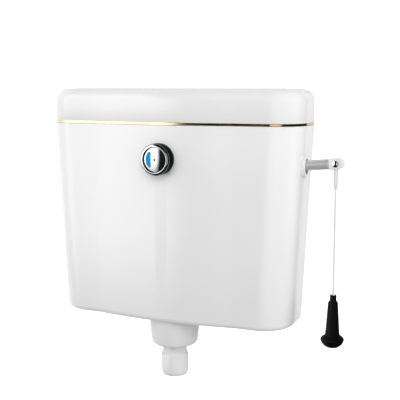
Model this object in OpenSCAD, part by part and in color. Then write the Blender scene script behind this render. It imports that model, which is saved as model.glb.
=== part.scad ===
// Slim wall-hung toilet cistern with a front push button and a side pull lever.
// The front faces -Y, the back lies on the wall plane y = 0, and +Z is up.
// The origin lies on the back face, midway between the two wall screw holes.

/* [Tank] */
// Width of the tank at its rim
tank_w = 400; // [380:5:430]
// Depth of the tank at its corner columns
tank_d = 90; // [88:1:100]
// How far the middle of the front bows out past the columns
front_bow = 10; // [7:1:13]
// Width of the bowed middle of the front
bow_w = 220; // [190:5:230]
// Height of the tank from its underside to its rim
tank_h = 290; // [275:5:310]
// How much further in each side stands at the underside
side_taper = 15; // [10:1:18]
// Radius of the front corners
corner_r = 48; // [44:1:52]
// Radius of the upright edges along the wall
back_edge_r = 6; // [5:0.5:8]
// Radius around the underside
bottom_edge_r = 8; // [6:0.5:10]
// Wall thickness of the tank
tank_wall = 3.5; // [3:0.25:4.5]
// Thickness of the tank floor
floor_t = 4; // [3:0.5:6]
// Height of the rim above the wall screws
rim_up = 45; // [42:1:50]

/* [Wall fixing] */
// Distance between the two wall screws
screw_spacing = 200; // [170:5:230]
// Radius of the wall screw holes
screw_hole_r = 4; // [3:0.5:5]

/* [Lid] */
// Height of the lid above the rim, at its shoulders
lid_h = 51; // [46:1:58]
// Radius of the rounded edge around the top
lid_edge_r = 17; // [13:1:19]
// Rise of the lid's middle above its shoulders
lid_crown = 1; // [0.5:0.25:2]
// Wall thickness of the lid
lid_wall = 3; // [2.5:0.25:4]
// Depth of the lip that drops inside the tank
lip_h = 10; // [7:1:13]
// Thickness of that lip
lip_t = 2.5; // [2:0.25:3]
// Height of the trim band around the lid's lower edge
band_h = 5; // [4:0.5:7]
// Thickness of the trim band
band_t = 1; // [0.8:0.1:1.4]
// How far the trim band stands proud
band_proud = 0.3; // [0.2:0.05:0.5]

/* [Push button] */
// Depth of the button's axis below the rim
button_drop = 48; // [46:1:54]
// Radius of the round bezel
bezel_r = 23; // [22:0.5:26]
// How far the bezel stands out of the front
bezel_h = 20; // [18:0.5:23]
// Radius of the button face
button_r = 17.7; // [16.5:0.1:18.2]
// How far the button pushes in
button_travel = 8; // [6:0.5:9]
// Radius of the button's plunger
plunger_r = 4; // [3.5:0.1:4.5]
// Radius of the threaded sleeve through the front wall
sleeve_r = 9; // [8.5:0.1:9.5]
// Turns of the return spring
spring_turns = 7; // [5:1:9]
// Radius of the spring wire
spring_wire_r = 0.6; // [0.4:0.05:0.7]

/* [Side lever] */
// Depth of the lever's pivot below the rim
lever_drop = 56.5; // [54:0.5:58]
// Distance of the lever from the wall
lever_back = 46; // [44:1:48]
// Upward tilt of the lever's outer end at rest
lever_tilt = 5; // [4:0.5:6]
// Reach of the lever from the side wall to its eye
lever_reach = 45.4; // [42:0.2:49]
// Radius of the lever's outer rod
rod_r = 7.3; // [6.8:0.1:7.6]
// Half height of the upright rosette around the lever
rosette_r = 15; // [14.5:0.1:16]
// Thickness of the rosette
rosette_t = 3; // [2.5:0.25:5]

/* [Pull cord] */
// Radius of the cord
cord_r = 1.4; // [1.2:0.1:1.6]
// Length of the handle
handle_h = 76; // [70:1:82]
// Largest radius of the handle
handle_r = 16.5; // [15:0.5:18]

/* [Flush valve] */
// Distance of the outlet's axis from the wall
outlet_back = 52; // [50:1:53]
// Radius of the opening in the valve seat
seat_r = 22; // [20:0.5:23]
// Radius of the bell that closes the seat
bell_r = 29; // [28:0.25:29.5]
// Height of the bell
bell_h = 38; // [32:1:42]
// Outer radius of the overflow tube
overflow_r = 11; // [10:0.25:12]
// Depth of the overflow tube's mouth below the rim
overflow_drop = 93; // [92:1:98]

/* [Outlet] */
// Radius of the outlet cup under the tank
cup_r = 38; // [37:0.5:41]
// Height of the outlet cup
cup_h = 43; // [41:1:47]
// Radius of the neck below the cup
neck_r = 18.5; // [18:0.25:19.5]
// Height of the neck below the cup
neck_h = 15; // [12:1:20]
// Outer radius of the flush pipe socket
socket_r = 20.8; // [20:0.1:23]
// Height of the flush pipe socket
socket_h = 33.5; // [30:0.5:40]
// Radius of the bore that takes the flush pipe
pipe_bore_r = 16.25; // [15.5:0.05:16.4]

/* [Fill valve] */
// Depth of the water inlet below the rim
inlet_drop = 57; // [55:1:60]
// Distance of the water inlet from the wall
inlet_back = 21; // [20.5:0.5:25]
// Radius of the inlet's threaded shank
shank_r = 10.4; // [9.5:0.1:10.8]
// How far the shank stands out of the side wall
shank_out = 15.5; // [14.5:0.5:24]
// Radius of the float ball
float_r = 33; // [28:0.5:34]
// Reach of the float arm from its pin to the ball's middle
float_reach = 70; // [68:1:76]

/* [Hidden] */
$fn = 64;

// Clearances
seat_gap = 0.3;
run_gap = 0.05;
slip_gap = 0.4;
push_gap = 0.02;

// Levels of the tank
rim_z = rim_up;
bottom_z = rim_z - tank_h;
floor_z = bottom_z + floor_t;
front_y = -(tank_d + front_bow);
front_in = front_y + tank_wall;
bow_rad = (bow_w * bow_w / 4 + front_bow * front_bow) / (2 * front_bow);
bow_y = front_y + bow_rad;

// Segments of the plan outline
bow_segs = 12;
corner_segs = 8;
edge_segs = 3;
fillet_segs = 5;

// Lid
lid_gap = 0.1;
lip_gap = 0.6;
lid_z = rim_z + lid_gap;
lid_top = rim_z + lid_h;
ceiling_in = 25;

// Push button, measured outwards from the front face
button_z = rim_z - button_drop;
gasket_t = 1.5;
face_round = 120;
button_t = 4;
button_top = bezel_h - 1.5;
well_floor = button_top - button_t - button_travel - 1;
sleeve_in = tank_wall + 8.5;
guide_t = 4;
spring_bore_r = 7.2;
spring_r = 5.6;
inset_r = 14.5;
inset_cut = 5.8;
inset_t = 1;
inset_gap = 0.06;
screw_dot_r = 1.2;
nut_r = 13.4;
nut_t = 5;

// Bell crank behind the button
crank_y = front_in + 16.5;
crank_z = button_z + 18;
crank_pin_r = 2;
crank_hub_r = 4.5;
crank_hub_w = 18;
crank_rest = 10;
crank_reach = (-outlet_back - crank_y) / cos(crank_rest);
crank_lean = atan(button_travel / 2 / (crank_z - button_z));
crank_drop = (crank_z - button_z) / cos(crank_lean);
crank_nose_r = 3;
crank_t = 3;
push_nose_r = 2.5;
fork_in = 4.5;
fork_w = 4;
ear_w = 2.5;
ear_gap = 0.5;
bracket_t = 2;
bracket_gap = 0.4;
plunger_end = front_y - (crank_y - button_travel / 2 - push_nose_r - seat_gap);

// Side lever
lever_z = rim_z - lever_drop;
lever_wall_x = tank_w / 2 - side_taper * lever_drop / tank_h;
plate_half = 4;
plate_r = rosette_r - plate_half;
pad_r = plate_r + 0.5;
pad_out = 1;
// The pad reaches inwards past the rounded front corner, so that the bracket seats flat on it
pad_dy = max(0, lever_back + pad_r - tank_d + corner_r);
pad_in = corner_r - sqrt(pow(corner_r - tank_wall, 2) - pad_dy * pad_dy) + 0.6;
lug_len = 11.7;
pivot_x = lever_wall_x - pad_in - lug_len;
lever_in = pivot_x / cos(lever_tilt);
lever_out = (lever_wall_x + lever_reach - pivot_x) / cos(lever_tilt);
slot_r = rod_r + slip_gap;
slot_half = 3.2;
bracket_x = lever_wall_x - pad_in;
lever_pin_r = 2.5;
hub_r = 8;
hub_w = 13;
arm_half = 3.5;
nose_r = 4;
prong_half = 2.5;
web_back = 16;
web_t = 6;
lug_w = 2.5;
lug_gap = 0.5;
tie_r = 1.2;
tie_z = (slot_half + slot_r + rosette_r) / 2 + 0.2;

// Lever eye and cord
eye_half = 7.7;
eye_w = 13;
eye_tip = 3;
eye_back = 9.5;
eye_slot_w = 4.6;
eye_slot_half = 5.6;
eye_pin_r = 1.5;
eye_head_r = 4.6;
eye_head_h = 1.8;
cord_x = pivot_x + lever_out * cos(lever_tilt);
cord_y = -lever_back;
eye_z = lever_z + lever_out * sin(lever_tilt);
loop_r = eye_pin_r + cord_r + seat_gap;
loop_drop = 30;
loop_neck = 12;
loop_half = 1.7;
whip_gap = 0.1;
whip_h = 7;
whip_r = 3.3;
swing_drop = loop_drop + whip_gap + whip_h + slip_gap + cord_r;
cord_foot = 182;
knot_h = 6;
knot_r = 2.8;
handle_top_z = eye_z - cord_foot - knot_h / 2;
tube_sides = 8;
// Cord below its eye: depth under the point it swings from, every point on the plumb line
cord_len = cord_foot - swing_drop;
cord_points = 20;
cord_route = [for (i = [0:cord_points]) [cord_x, cord_y, eye_z - swing_drop - cord_len * i / cord_points]];

// Flush valve
seat_flange_r = 36;
seat_flange_t = 4;
gasket_h = 2;
tail_r = 27;
tail_len = 29;
seat_z = floor_z + gasket_h + seat_flange_t;
washer_t = 3;
washer_z = seat_z + seat_gap;
bell_z = washer_z + washer_t;
bell_wall = 2;
overflow_z = rim_z - overflow_drop;
overflow_wall = 2;
cage_z = seat_z + 94;
cage_t = 6;
cage_post = 5;
yoke_r = overflow_r + 3;
yoke_h = 10;
yoke_leg = 3;
yoke_bar = 4;
yoke_up = 12;
lift_rod_r = 3.5;
lift_nose_z = lever_z - lever_in * sin(lever_tilt);
ring_z = lift_nose_z + nose_r + seat_gap;
ring_t = 3;
head_r = 9;
head_z = ring_z + ring_t + seat_gap;
head_t = 4;
collar_r = 8;
collar_t = 3;
collar_z = crank_z + crank_reach * sin(crank_rest) + crank_nose_r + 0.5;
rod_top_z = collar_z + collar_t + 2.5;

// Outlet
cup_z = bottom_z - cup_h;
cup_floor = 5;
neck_flange_r = 25;
neck_flange_t = 4;
neck_bore_r = 13.5;
neck_z = cup_z - neck_h;
spigot_r = 16.5;
spigot_h = 9;
seal_t = 4;
socket_z = neck_z - socket_h;

// Fill valve
inlet_z = rim_z - inlet_drop;
inlet_wall_x = tank_w / 2 - side_taper * inlet_drop / tank_h;
inlet_pad_r = 17;
inlet_pad_in = 5;
inlet_face = -inlet_wall_x - pad_out;
inlet_in = -inlet_wall_x + inlet_pad_in;
inlet_bore_r = 5.5;
hose_r = shank_r - 0.4;
flange_r = 15;
flange_t = 3;
inlet_washer_t = 1.5;
inlet_nut_t = 6;
inlet_nut_r = 17;
body_r = 11;
body_x = inlet_in + inlet_washer_t + flange_t;
body_len = 44;
body_end = body_x + body_len;
piston_r = 5;
nozzle_r = 2;
nozzle_len = 8;
disc_t = 2;
tip_r = 2.2;
tip_len = 5;
short_t = 2.4;
float_swing = 38;
float_lean = float_swing / 2;
short_arm = 12;
float_pin_x = body_end + 2.5 + short_arm * sin(float_lean) + push_nose_r + seat_gap;
float_pin_z = inlet_z - short_arm * cos(float_lean);
piston_end = body_end + 2.5;
disc_x = body_x + nozzle_len + seat_gap;
float_pin_r = 2;
float_hub_r = 4.5;
float_hub_w = 11;
cheek_w = 3;
arm_r = 2.4;
float_y = -(float_r + tank_wall + 3);
float_dip = 30;
float_dx = sqrt(float_reach * float_reach - float_dip * float_dip);
float_at = [float_pin_x + float_dx, float_y, float_pin_z - float_dip];
float_from = [float_pin_x, -inlet_back, float_pin_z];
down_tube_r = 6;
down_tube_x = body_x + 14;
down_tube_z = floor_z + 18;

// Half width of the tank at a height
function half_w(z) = tank_w / 2 - side_taper * max(0, rim_z - z) / tank_h;

// Points along an arc about a centre
function arc(c, r, a0, a1, n) =
    [for (i = [0:n]) let (a = a0 + (a1 - a0) * i / n) c + r * [cos(a), sin(a)]];

// Plan outline at a height, moved inwards by a distance, anticlockwise from the bow's left end
function plan(in, z) =
    let (hw = half_w(z) - in,
         d = tank_d - in,
         rc = max(corner_r - in, 1),
         rb = max(back_edge_r - in, 0.5),
         rf = bow_rad - in,
         bow_a = acos((rf - front_bow) / rf))
    concat(arc([0, bow_y], rf, -90 - bow_a, -90 + bow_a, bow_segs),
           arc([hw - rc, rc - d], rc, -90, 0, corner_segs),
           arc([hw - rb, -in - rb], rb, 0, 90, edge_segs),
           arc([rb - hw, -in - rb], rb, 90, 180, edge_segs),
           arc([rc - hw, rc - d], rc, 180, 270, corner_segs));

// Triangles between rings of n points, and around the last ring to the first if it is closed
function skin(n, rings, closed = false) =
    [for (k = [0:closed ? rings - 1 : rings - 2], i = [0:n - 1], half = [0, 1])
        let (j = (i + 1) % n, a = k * n, b = ((k + 1) % rings) * n)
        half == 0 ? [a + i, b + i, b + j] : [a + i, b + j, a + j]];

function ring_points(profile) =
    [for (p = profile) let (outline = plan(p[0], p[1])) for (q = outline) [q[0], q[1], p[1]]];

// Shell swept round the plan outline: its profile is a list of [inset, height]
module shell(profile) {
    n = len(plan(0, rim_z));
    rings = len(profile);
    last = (rings - 1) * n;
    middles = [for (k = [0, rings - 1]) [0, -tank_d / 2, profile[k][1]]];
    first_cap = [for (i = [0:n - 1]) [rings * n, i, (i + 1) % n]];
    last_cap = [for (i = [0:n - 1]) [rings * n + 1, last + (i + 1) % n, last + i]];
    polyhedron(concat(ring_points(profile), middles),
               concat(skin(n, rings), first_cap, last_cap), 10);
}

// Closed hoop swept round the plan outline
module hoop(profile) {
    n = len(plan(0, rim_z));
    polyhedron(ring_points(profile), skin(n, len(profile), true), 10);
}

function unit(v) = v / norm(v);

// Direction of a path at one of its points
function heading(path, i) = unit(path[min(i + 1, len(path) - 1)] - path[max(i - 1, 0)]);

// Tube swept along a path, its rings set out from a reference direction
module tube(path, r, sides, ref) {
    points = [for (i = [0:len(path) - 1])
        let (t = heading(path, i), u = unit(cross(t, ref)), w = cross(t, u))
        for (k = [0:sides - 1]) path[i] + r * (cos(360 * k / sides) * u + sin(360 * k / sides) * w)];
    last = (len(path) - 1) * sides;
    first_cap = [for (k = [1:sides - 2]) [0, k, k + 1]];
    last_cap = [for (k = [1:sides - 2]) [last, last + k + 1, last + k]];
    polyhedron(points, concat(skin(sides, len(path)), first_cap, last_cap), 10);
}

// Straight round bar between two points
module bar(p, q, r) {
    v = q - p;
    translate(p) rotate([0, acos(v[2] / norm(v)), atan2(v[1], v[0])]) cylinder(h = norm(v), r = r);
}

// Round bar along X, Y or Z about a middle point
module along_x(c, h, r) { translate(c) rotate([0, 90, 0]) cylinder(h = h, r = r, center = true); }
module along_y(c, h, r) { translate(c) rotate([90, 0, 0]) cylinder(h = h, r = r, center = true); }

// Ring about Z from one height to another
module washer(z0, z1, r_out, r_in) {
    translate([0, 0, z0]) difference() {
        cylinder(h = z1 - z0, r = r_out);
        translate([0, 0, -1]) cylinder(h = z1 - z0 + 2, r = r_in);
    }
}

// Frames that pieces are drawn in
module at_front() { translate([0, front_y, button_z]) rotate([90, 0, 0]) children(); }
module at_outlet() { translate([0, -outlet_back, 0]) children(); }
module at_lever() { translate([pivot_x, -lever_back, lever_z]) rotate([0, -lever_tilt, 0]) children(); }
module at_inlet() { translate([0, -inlet_back, inlet_z]) rotate([0, 90, 0]) children(); }
module at_side() { translate([0, -lever_back, lever_z]) rotate([0, 90, 0]) children(); }

// Upright bar with round ends, drawn along Z of the side frame
module upright(x0, x1, half, r) {
    translate([0, 0, x0]) linear_extrude(x1 - x0) union() {
        for (s = [-1, 1]) translate([s * half, 0]) circle(r);
        square([2 * half, 2 * r], center = true);
    }
}

// Slot that the lever swings in
module lever_slot(x0, x1, r) { upright(x0, x1, slot_half, r); }

// The two screws that tie the rosette to the lever bracket, drawn along Z of the side frame
module tie_rods(x0, x1, r) {
    for (s = [-1, 1]) translate([s * tie_z, 0, x0]) cylinder(h = x1 - x0, r = r);
}

module tank() {
    bottom = [for (i = [0:fillet_segs]) let (a = 90 * i / fillet_segs)
        [bottom_edge_r * (1 - sin(a)), bottom_z + bottom_edge_r * (1 - cos(a))]];
    inner_r = bottom_edge_r - 2;
    inside = [for (i = [fillet_segs:-1:0]) let (a = 90 * i / fillet_segs)
        [tank_wall + inner_r * (1 - sin(a)), floor_z + inner_r * (1 - cos(a))]];
    color("white") difference() {
        union() {
            shell(concat(bottom, [[0, rim_z], [tank_wall, rim_z]], inside));
            at_side() upright(lever_wall_x - pad_in, lever_wall_x + pad_out, plate_half, pad_r);
            at_inlet() translate([0, 0, inlet_face]) cylinder(h = inlet_pad_in + pad_out, r = inlet_pad_r);
        }
        for (s = [-1, 1]) along_y([s * screw_spacing / 2, 0, 0], 4 * tank_wall, screw_hole_r);
        at_front() translate([0, 0, -2 * tank_wall]) cylinder(h = 3 * tank_wall, r = sleeve_r + slip_gap);
        at_outlet() translate([0, 0, bottom_z - 1]) cylinder(h = floor_t + 2, r = tail_r + slip_gap);
        at_side() lever_slot(lever_wall_x - pad_in - 1, lever_wall_x + pad_out + 1, slot_r + slip_gap);
        at_side() tie_rods(lever_wall_x - pad_in - 1, lever_wall_x + pad_out + 1, tie_r + slip_gap / 2);
        at_inlet() translate([0, 0, inlet_face - 1])
            cylinder(h = inlet_pad_in + pad_out + 2, r = shank_r + slip_gap);
    }
}

module lid() {
    recess = band_t - band_proud;
    lip_out = tank_wall + lip_gap;
    lip_in = lip_out + lip_t;
    inner_r = lid_edge_r - lid_wall;
    ceiling = [for (i = [fillet_segs:-1:0]) let (a = 90 * i / fillet_segs)
        [lid_wall + inner_r * (1 - cos(a)), lid_top - lid_wall - inner_r * (1 - sin(a))]];
    top = [for (i = [0:fillet_segs]) let (a = 90 * i / fillet_segs)
        [lid_edge_r * (1 - cos(a)), lid_top - lid_edge_r * (1 - sin(a))]];
    color("white") shell(concat(
        [[lid_edge_r + ceiling_in, lid_top - lid_wall + lid_crown]],
        ceiling,
        [[lid_wall, lid_z + band_h + lid_wall], [lip_in, lid_z + band_h], [lip_in, rim_z - lip_h],
         [lip_out, rim_z - lip_h], [lip_out, lid_z], [recess, lid_z], [recess, lid_z + band_h],
         [0, lid_z + band_h]],
        top,
        [[lid_edge_r + ceiling_in, lid_top + lid_crown]]));
}

module trim_band() {
    back = band_t - band_proud - push_gap;
    low = lid_z + 2 * lid_gap;
    high = lid_z + band_h - lid_gap;
    color("gold") difference() {
        hoop([[back, low], [-band_proud, low], [-band_proud, high], [back, high]]);
        translate([-tank_w, -back_edge_r - 2, low - 1]) cube([2 * tank_w, 4 * back_edge_r, band_h + 2]);
    }
}

module button_bezel() {
    crest = 3.2;
    lip_r = button_r + slip_gap;
    lip_round = 0.5;
    crest_arc = arc([bezel_r - crest, bezel_h - crest], crest, 0, 90, 8);
    color("silver") at_front() difference() {
        rotate_extrude() polygon(concat(
            [[0, -sleeve_in], [sleeve_r, -sleeve_in], [sleeve_r, gasket_t], [bezel_r, gasket_t]],
            crest_arc,
            [[lip_r + lip_round, bezel_h], [lip_r, bezel_h - lip_round], [0, bezel_h - lip_round]]));
        translate([0, 0, well_floor]) cylinder(h = bezel_h, r = lip_r);
        translate([0, 0, guide_t - sleeve_in]) cylinder(h = bezel_h + sleeve_in, r = spring_bore_r);
        translate([0, 0, -sleeve_in - 1]) cylinder(h = bezel_h, r = plunger_r + 2 * run_gap);
    }
}

module button_gasket() {
    color("dimgray") at_front() washer(0, gasket_t, bezel_r - 1, sleeve_r + slip_gap);
}

module button_nut() {
    y0 = tank_wall + bracket_gap + bracket_t;
    color("whitesmoke") at_front() translate([0, 0, -y0 - nut_t]) difference() {
        cylinder(h = nut_t, r = nut_r, $fn = 6);
        translate([0, 0, -1]) cylinder(h = nut_t + 2, r = sleeve_r + run_gap);
    }
}

// Half-moon on the left of the button face
module half_moon(r, cut) {
    intersection() {
        circle(r);
        translate([-2 * r - cut, -r]) square(2 * r);
    }
}

// Slightly domed face of the button, raised by a distance
module face_dome(lift) {
    translate([0, 0, button_top + lift - face_round]) sphere(face_round, $fn = 128);
}

module push_button() {
    color("silver") at_front() difference() {
        union() {
            intersection() {
                translate([0, 0, button_top - button_t]) cylinder(h = 2 * button_t, r = button_r);
                face_dome(0);
            }
            translate([0, 0, plunger_end]) cylinder(h = button_top - 2 - plunger_end, r = plunger_r);
        }
        difference() {
            translate([0, 0, button_top - 4]) linear_extrude(8) half_moon(inset_r, inset_cut);
            face_dome(-inset_t);
        }
        translate([0, 0, button_top - button_t]) cylinder(h = 2 * button_t, r = screw_dot_r + run_gap);
    }
}

module button_inset() {
    color("deepskyblue") at_front() intersection() {
        difference() {
            translate([0, 0, button_top - 4]) linear_extrude(8)
                half_moon(inset_r - inset_gap, inset_cut + inset_gap);
            face_dome(-inset_t + inset_gap);
        }
        face_dome(0.15);
    }
}

module button_screw() {
    color("dimgray") at_front() translate([0, 0, button_top - button_t + 0.5])
        cylinder(h = button_t - 0.9, r = screw_dot_r);
}

module button_spring() {
    low = guide_t - sleeve_in + spring_wire_r + seat_gap;
    high = button_top - button_t - spring_wire_r - seat_gap;
    curl = 8;
    steps = spring_turns * curl;
    path = [for (i = [0:steps]) let (a = 360 * i / curl)
        [spring_r * cos(a), spring_r * sin(a), low + (high - low) * i / steps]];
    pitch = (high - low) / spring_turns;
    echo(spring_gap = pitch - 2 * spring_wire_r);
    color("silver") at_front() tube(path, spring_wire_r, 6, [0, 0, 1]);
}

module crank_bracket() {
    y0 = front_in + bracket_gap;
    ear_x = crank_hub_w / 2 + ear_gap;
    ear_half = 4;
    plate_half = ear_x + ear_w;
    color("whitesmoke") difference() {
        union() {
            translate([-plate_half, y0, button_z - nut_r])
                cube([2 * plate_half, bracket_t, crank_z + ear_half - button_z + nut_r]);
            for (s = [0, 1]) mirror([s, 0, 0]) {
                translate([ear_x, y0, crank_z - ear_half])
                    cube([ear_w, crank_y - y0, 2 * ear_half]);
                along_x([ear_x + ear_w / 2, crank_y, crank_z], ear_w, ear_half);
            }
        }
        along_x([0, crank_y, crank_z], 4 * plate_half, crank_pin_r + push_gap);
        along_y([0, y0, button_z], 4 * bracket_t, sleeve_r + slip_gap);
    }
}

module crank_pin() {
    color("silver") along_x([0, crank_y, crank_z], crank_hub_w + 2 * (ear_gap + ear_w) + 2, crank_pin_r);
}

// Flat arm in the YZ plane from the crank's pin, with a round nose on its end
module crank_arm(angle, length, nose, x0, w) {
    translate([x0, crank_y, crank_z]) rotate([angle, 0, 0]) {
        translate([0, 0, -crank_t / 2]) cube([w, length, crank_t]);
        translate([0, length, 0]) rotate([0, 90, 0]) cylinder(h = w, r = nose);
    }
}

module bell_crank() {
    color("whitesmoke") difference() {
        union() {
            along_x([0, crank_y, crank_z], crank_hub_w, crank_hub_r);
            crank_arm(crank_rest, crank_reach, crank_nose_r, fork_in, fork_w);
            crank_arm(crank_rest, crank_reach, crank_nose_r, -fork_in - fork_w, fork_w);
            crank_arm(-90 - crank_lean, crank_drop, push_nose_r, -fork_w, 2 * fork_w);
        }
        along_x([0, crank_y, crank_z], 2 * crank_hub_w, crank_pin_r + run_gap);
    }
}

module lever_rosette() {
    x0 = lever_wall_x + pad_out;
    color("white") at_side() difference() {
        upright(x0, x0 + rosette_t, plate_half, plate_r);
        lever_slot(x0 - 1, x0 + rosette_t + 1, slot_r);
        tie_rods(x0 - 1, x0 + rosette_t - 0.8, tie_r + push_gap);
    }
}

module lever_bracket() {
    plate = 2;
    lug_y = hub_w / 2 + lug_gap;
    lug_half = 5;
    color("whitesmoke") difference() {
        union() {
            at_side() upright(bracket_x - plate, bracket_x, plate_half, pad_r);
            for (s = [-1, 1]) {
                translate([pivot_x, -lever_back + s * (lug_y + lug_w / 2) - lug_w / 2, lever_z - lug_half])
                    cube([bracket_x - pivot_x, lug_w, 2 * lug_half]);
                along_y([pivot_x, -lever_back + s * (lug_y + lug_w / 2), lever_z], lug_w, lug_half);
            }
        }
        along_y([pivot_x, -lever_back, lever_z], 4 * hub_w, lever_pin_r + push_gap);
        at_side() lever_slot(pivot_x + hub_r - 1, bracket_x + 1, slot_r + slip_gap);
        at_side() tie_rods(bracket_x - plate - 1, bracket_x + 1, tie_r + slip_gap / 2);
    }
}

module bracket_screws() {
    plate = 2;
    head = 1.8;
    color("silver") at_side() {
        tie_rods(bracket_x - plate, lever_wall_x + pad_out + rosette_t - 1.2, tie_r);
        tie_rods(bracket_x - plate - head, bracket_x - plate, tie_r + 1);
    }
}

module lever_pin() {
    color("silver") along_y([pivot_x, -lever_back, lever_z], hub_w + 2 * (lug_gap + lug_w) + 2, lever_pin_r);
}

module lever_arm() {
    shift = lever_back - outlet_back;
    web_x = web_back - lever_in;
    color("silver") at_lever() difference() {
        union() {
            rotate([90, 0, 0]) cylinder(h = hub_w, r = hub_r, center = true);
            translate([0, -hub_w / 2, -hub_r]) cube([hub_r, hub_w, 2 * hub_r]);
            translate([0, 0, -arm_half]) linear_extrude(2 * arm_half)
                polygon([[0, -arm_half], [0, arm_half], [web_x, shift + arm_half], [web_x, shift - arm_half]]);
            translate([web_x, shift - fork_in - fork_w, -arm_half])
                cube([web_t, 2 * (fork_in + fork_w), 2 * arm_half]);
            for (y = [shift - fork_in - fork_w, shift + fork_in]) {
                translate([-lever_in, y, -prong_half]) cube([web_back, fork_w, 2 * prong_half]);
                translate([-lever_in, y + fork_w, 0]) rotate([90, 0, 0]) cylinder(h = fork_w, r = nose_r);
            }
        }
        rotate([90, 0, 0]) cylinder(h = 2 * hub_w, r = lever_pin_r + run_gap, center = true);
        translate([lever_pin_r + 1, 0, 0]) rotate([0, 90, 0]) cylinder(h = hub_r, r = 2.5 + push_gap);
    }
}

module lever_rod() {
    color("silver") at_lever() rotate([0, 90, 0]) {
        translate([0, 0, hub_r]) cylinder(h = lever_out - eye_back - hub_r, r = rod_r);
        translate([0, 0, lever_pin_r + 1.5]) cylinder(h = hub_r, r = 2.5);
        translate([0, 0, hub_r]) cylinder(h = lever_out - eye_back - hub_r + 3.5, r = 4);
    }
}

module lever_eye() {
    color("white") at_lever() difference() {
        translate([lever_out, 0, 0]) rotate([90, 0, 0]) linear_extrude(eye_w, center = true) union() {
            translate([eye_tip, 0]) circle(eye_half);
            translate([-eye_back, -eye_half]) square([eye_back + eye_tip, 2 * eye_half]);
        }
        translate([lever_out - eye_back - 1, 0, 0]) rotate([0, 90, 0]) cylinder(h = 4.7, r = 4 + push_gap);
        translate([lever_out - eye_slot_half, -eye_slot_w / 2, -2 * eye_half])
            cube([2 * eye_slot_half, eye_slot_w, 2 * eye_half]);
        translate([lever_out, 0, 0]) rotate([90, 0, 0])
            cylinder(h = eye_slot_w, r = eye_slot_half, center = true);
        translate([lever_out, 0, 0]) rotate([90, 0, 0])
            cylinder(h = 2 * eye_w, r = eye_pin_r + push_gap, center = true);
    }
}

module eye_pin() {
    color("silver") at_lever() translate([lever_out, 0, 0]) rotate([90, 0, 0]) {
        cylinder(h = eye_w, r = eye_pin_r, center = true);
        translate([0, 0, eye_w / 2]) intersection() {
            cylinder(h = eye_head_h, r = eye_head_r);
            translate([0, 0, eye_head_h - 2 * eye_head_r]) sphere(2 * eye_head_r);
        }
    }
}

// Eye of the cord: up one strand, over the pin and down the other
module cord_loop() {
    over = [for (a = [170:-20:10]) [loop_r * cos(a), loop_r * sin(a)]];
    pinch = [for (t = [1 / 4, 1 / 2, 3 / 4, 1])
        [loop_half + (loop_r - loop_half) * (1 + cos(180 * t)) / 2, -loop_neck * t]];
    down = concat(pinch, [for (t = [1 / 2, 1]) [loop_half, -loop_neck - (loop_drop - loop_neck) * t]]);
    up = [for (i = [len(down) - 1:-1:0]) [-down[i][0], down[i][1]]];
    path = [for (p = concat(up, over, down)) [cord_x + p[0], cord_y, eye_z + p[1]]];
    color("white") tube(path, cord_r, tube_sides, [0, 1, 0]);
}

module cord_whipping() {
    color("white") translate([cord_x, cord_y, eye_z - loop_drop - whip_gap - whip_h])
        cylinder(h = whip_h, r1 = cord_r + 0.2, r2 = whip_r);
}

module pull_cord() {
    color("white") tube(cord_route, cord_r, tube_sides, [0, 1, 0]);
}

// Rounded top of the hanging cord, centred on the point it swings from
module cord_top() {
    color("white") translate([cord_x, cord_y, eye_z - swing_drop]) intersection() {
        sphere(cord_r);
        translate([0, 0, push_gap]) cylinder(h = 2 * cord_r, r = 2 * cord_r);
    }
}

module cord_knot() {
    color("white") translate([cord_x, cord_y, eye_z - cord_foot - knot_h])
        cylinder(h = knot_h, r1 = knot_r, r2 = cord_r + 0.2);
}

module pull_handle() {
    neck = 4.6;
    neck_h = 8.5;
    top = 7;
    waist = 10.2;
    flare_h = 18;
    rim_h = 11.5;
    foot = 6;
    cup = knot_h / 2;
    color("black") translate([cord_x, cord_y, handle_top_z - handle_h]) difference() {
        rotate_extrude() union() {
            polygon([[0, 0], [foot, 0], [handle_r - 4.6, 3.2], [handle_r - 1.4, 7.5], [handle_r, rim_h],
                     [handle_r - 0.8, rim_h + 2.5], [waist + 1.6, flare_h - 2], [waist, flare_h],
                     [top, handle_h - neck_h - 1], [top - 1, handle_h - neck_h], [neck, handle_h - neck_h],
                     [neck, handle_h], [0, handle_h]]);
        }
        translate([0, 0, handle_h - cup - seat_gap]) cylinder(h = cup + 1, r = knot_r + seat_gap);
    }
}

module valve_seat() {
    color("whitesmoke") at_outlet() difference() {
        union() {
            translate([0, 0, seat_z - seat_flange_t]) cylinder(h = seat_flange_t, r = seat_flange_r);
            translate([0, 0, floor_z - tail_len]) cylinder(h = tail_len + gasket_h + 1, r = tail_r);
        }
        translate([0, 0, floor_z - tail_len - 1]) cylinder(h = tail_len + 20, r = seat_r);
    }
}

module seat_gasket() {
    color("dimgray") at_outlet() washer(floor_z, floor_z + gasket_h, seat_flange_r - 1, tail_r + slip_gap);
}

module guide_cage() {
    post_r = seat_flange_r - cage_post / 2;
    base_t = 3;
    hub = overflow_r + 4;
    color("whitesmoke") at_outlet() difference() {
        union() {
            washer(seat_z, seat_z + base_t, seat_flange_r, bell_r + 1);
            washer(cage_z, cage_z + cage_t, seat_flange_r, seat_flange_r - cage_post);
            washer(cage_z, cage_z + cage_t, hub, overflow_r + slip_gap);
            for (a = [45:90:315]) rotate(a) {
                translate([bell_r + 1.5, -cage_post / 2, seat_z])
                    cube([post_r + cage_post / 2 - bell_r - 2, cage_post, cage_z + cage_t - seat_z]);
                translate([hub - 1, -cage_post / 2, cage_z])
                    cube([post_r - hub, cage_post, cage_t]);
            }
        }
    }
}

module seat_washer() {
    color("dimgray") at_outlet() washer(washer_z, bell_z, bell_r - 1, overflow_r + push_gap);
}

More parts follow.
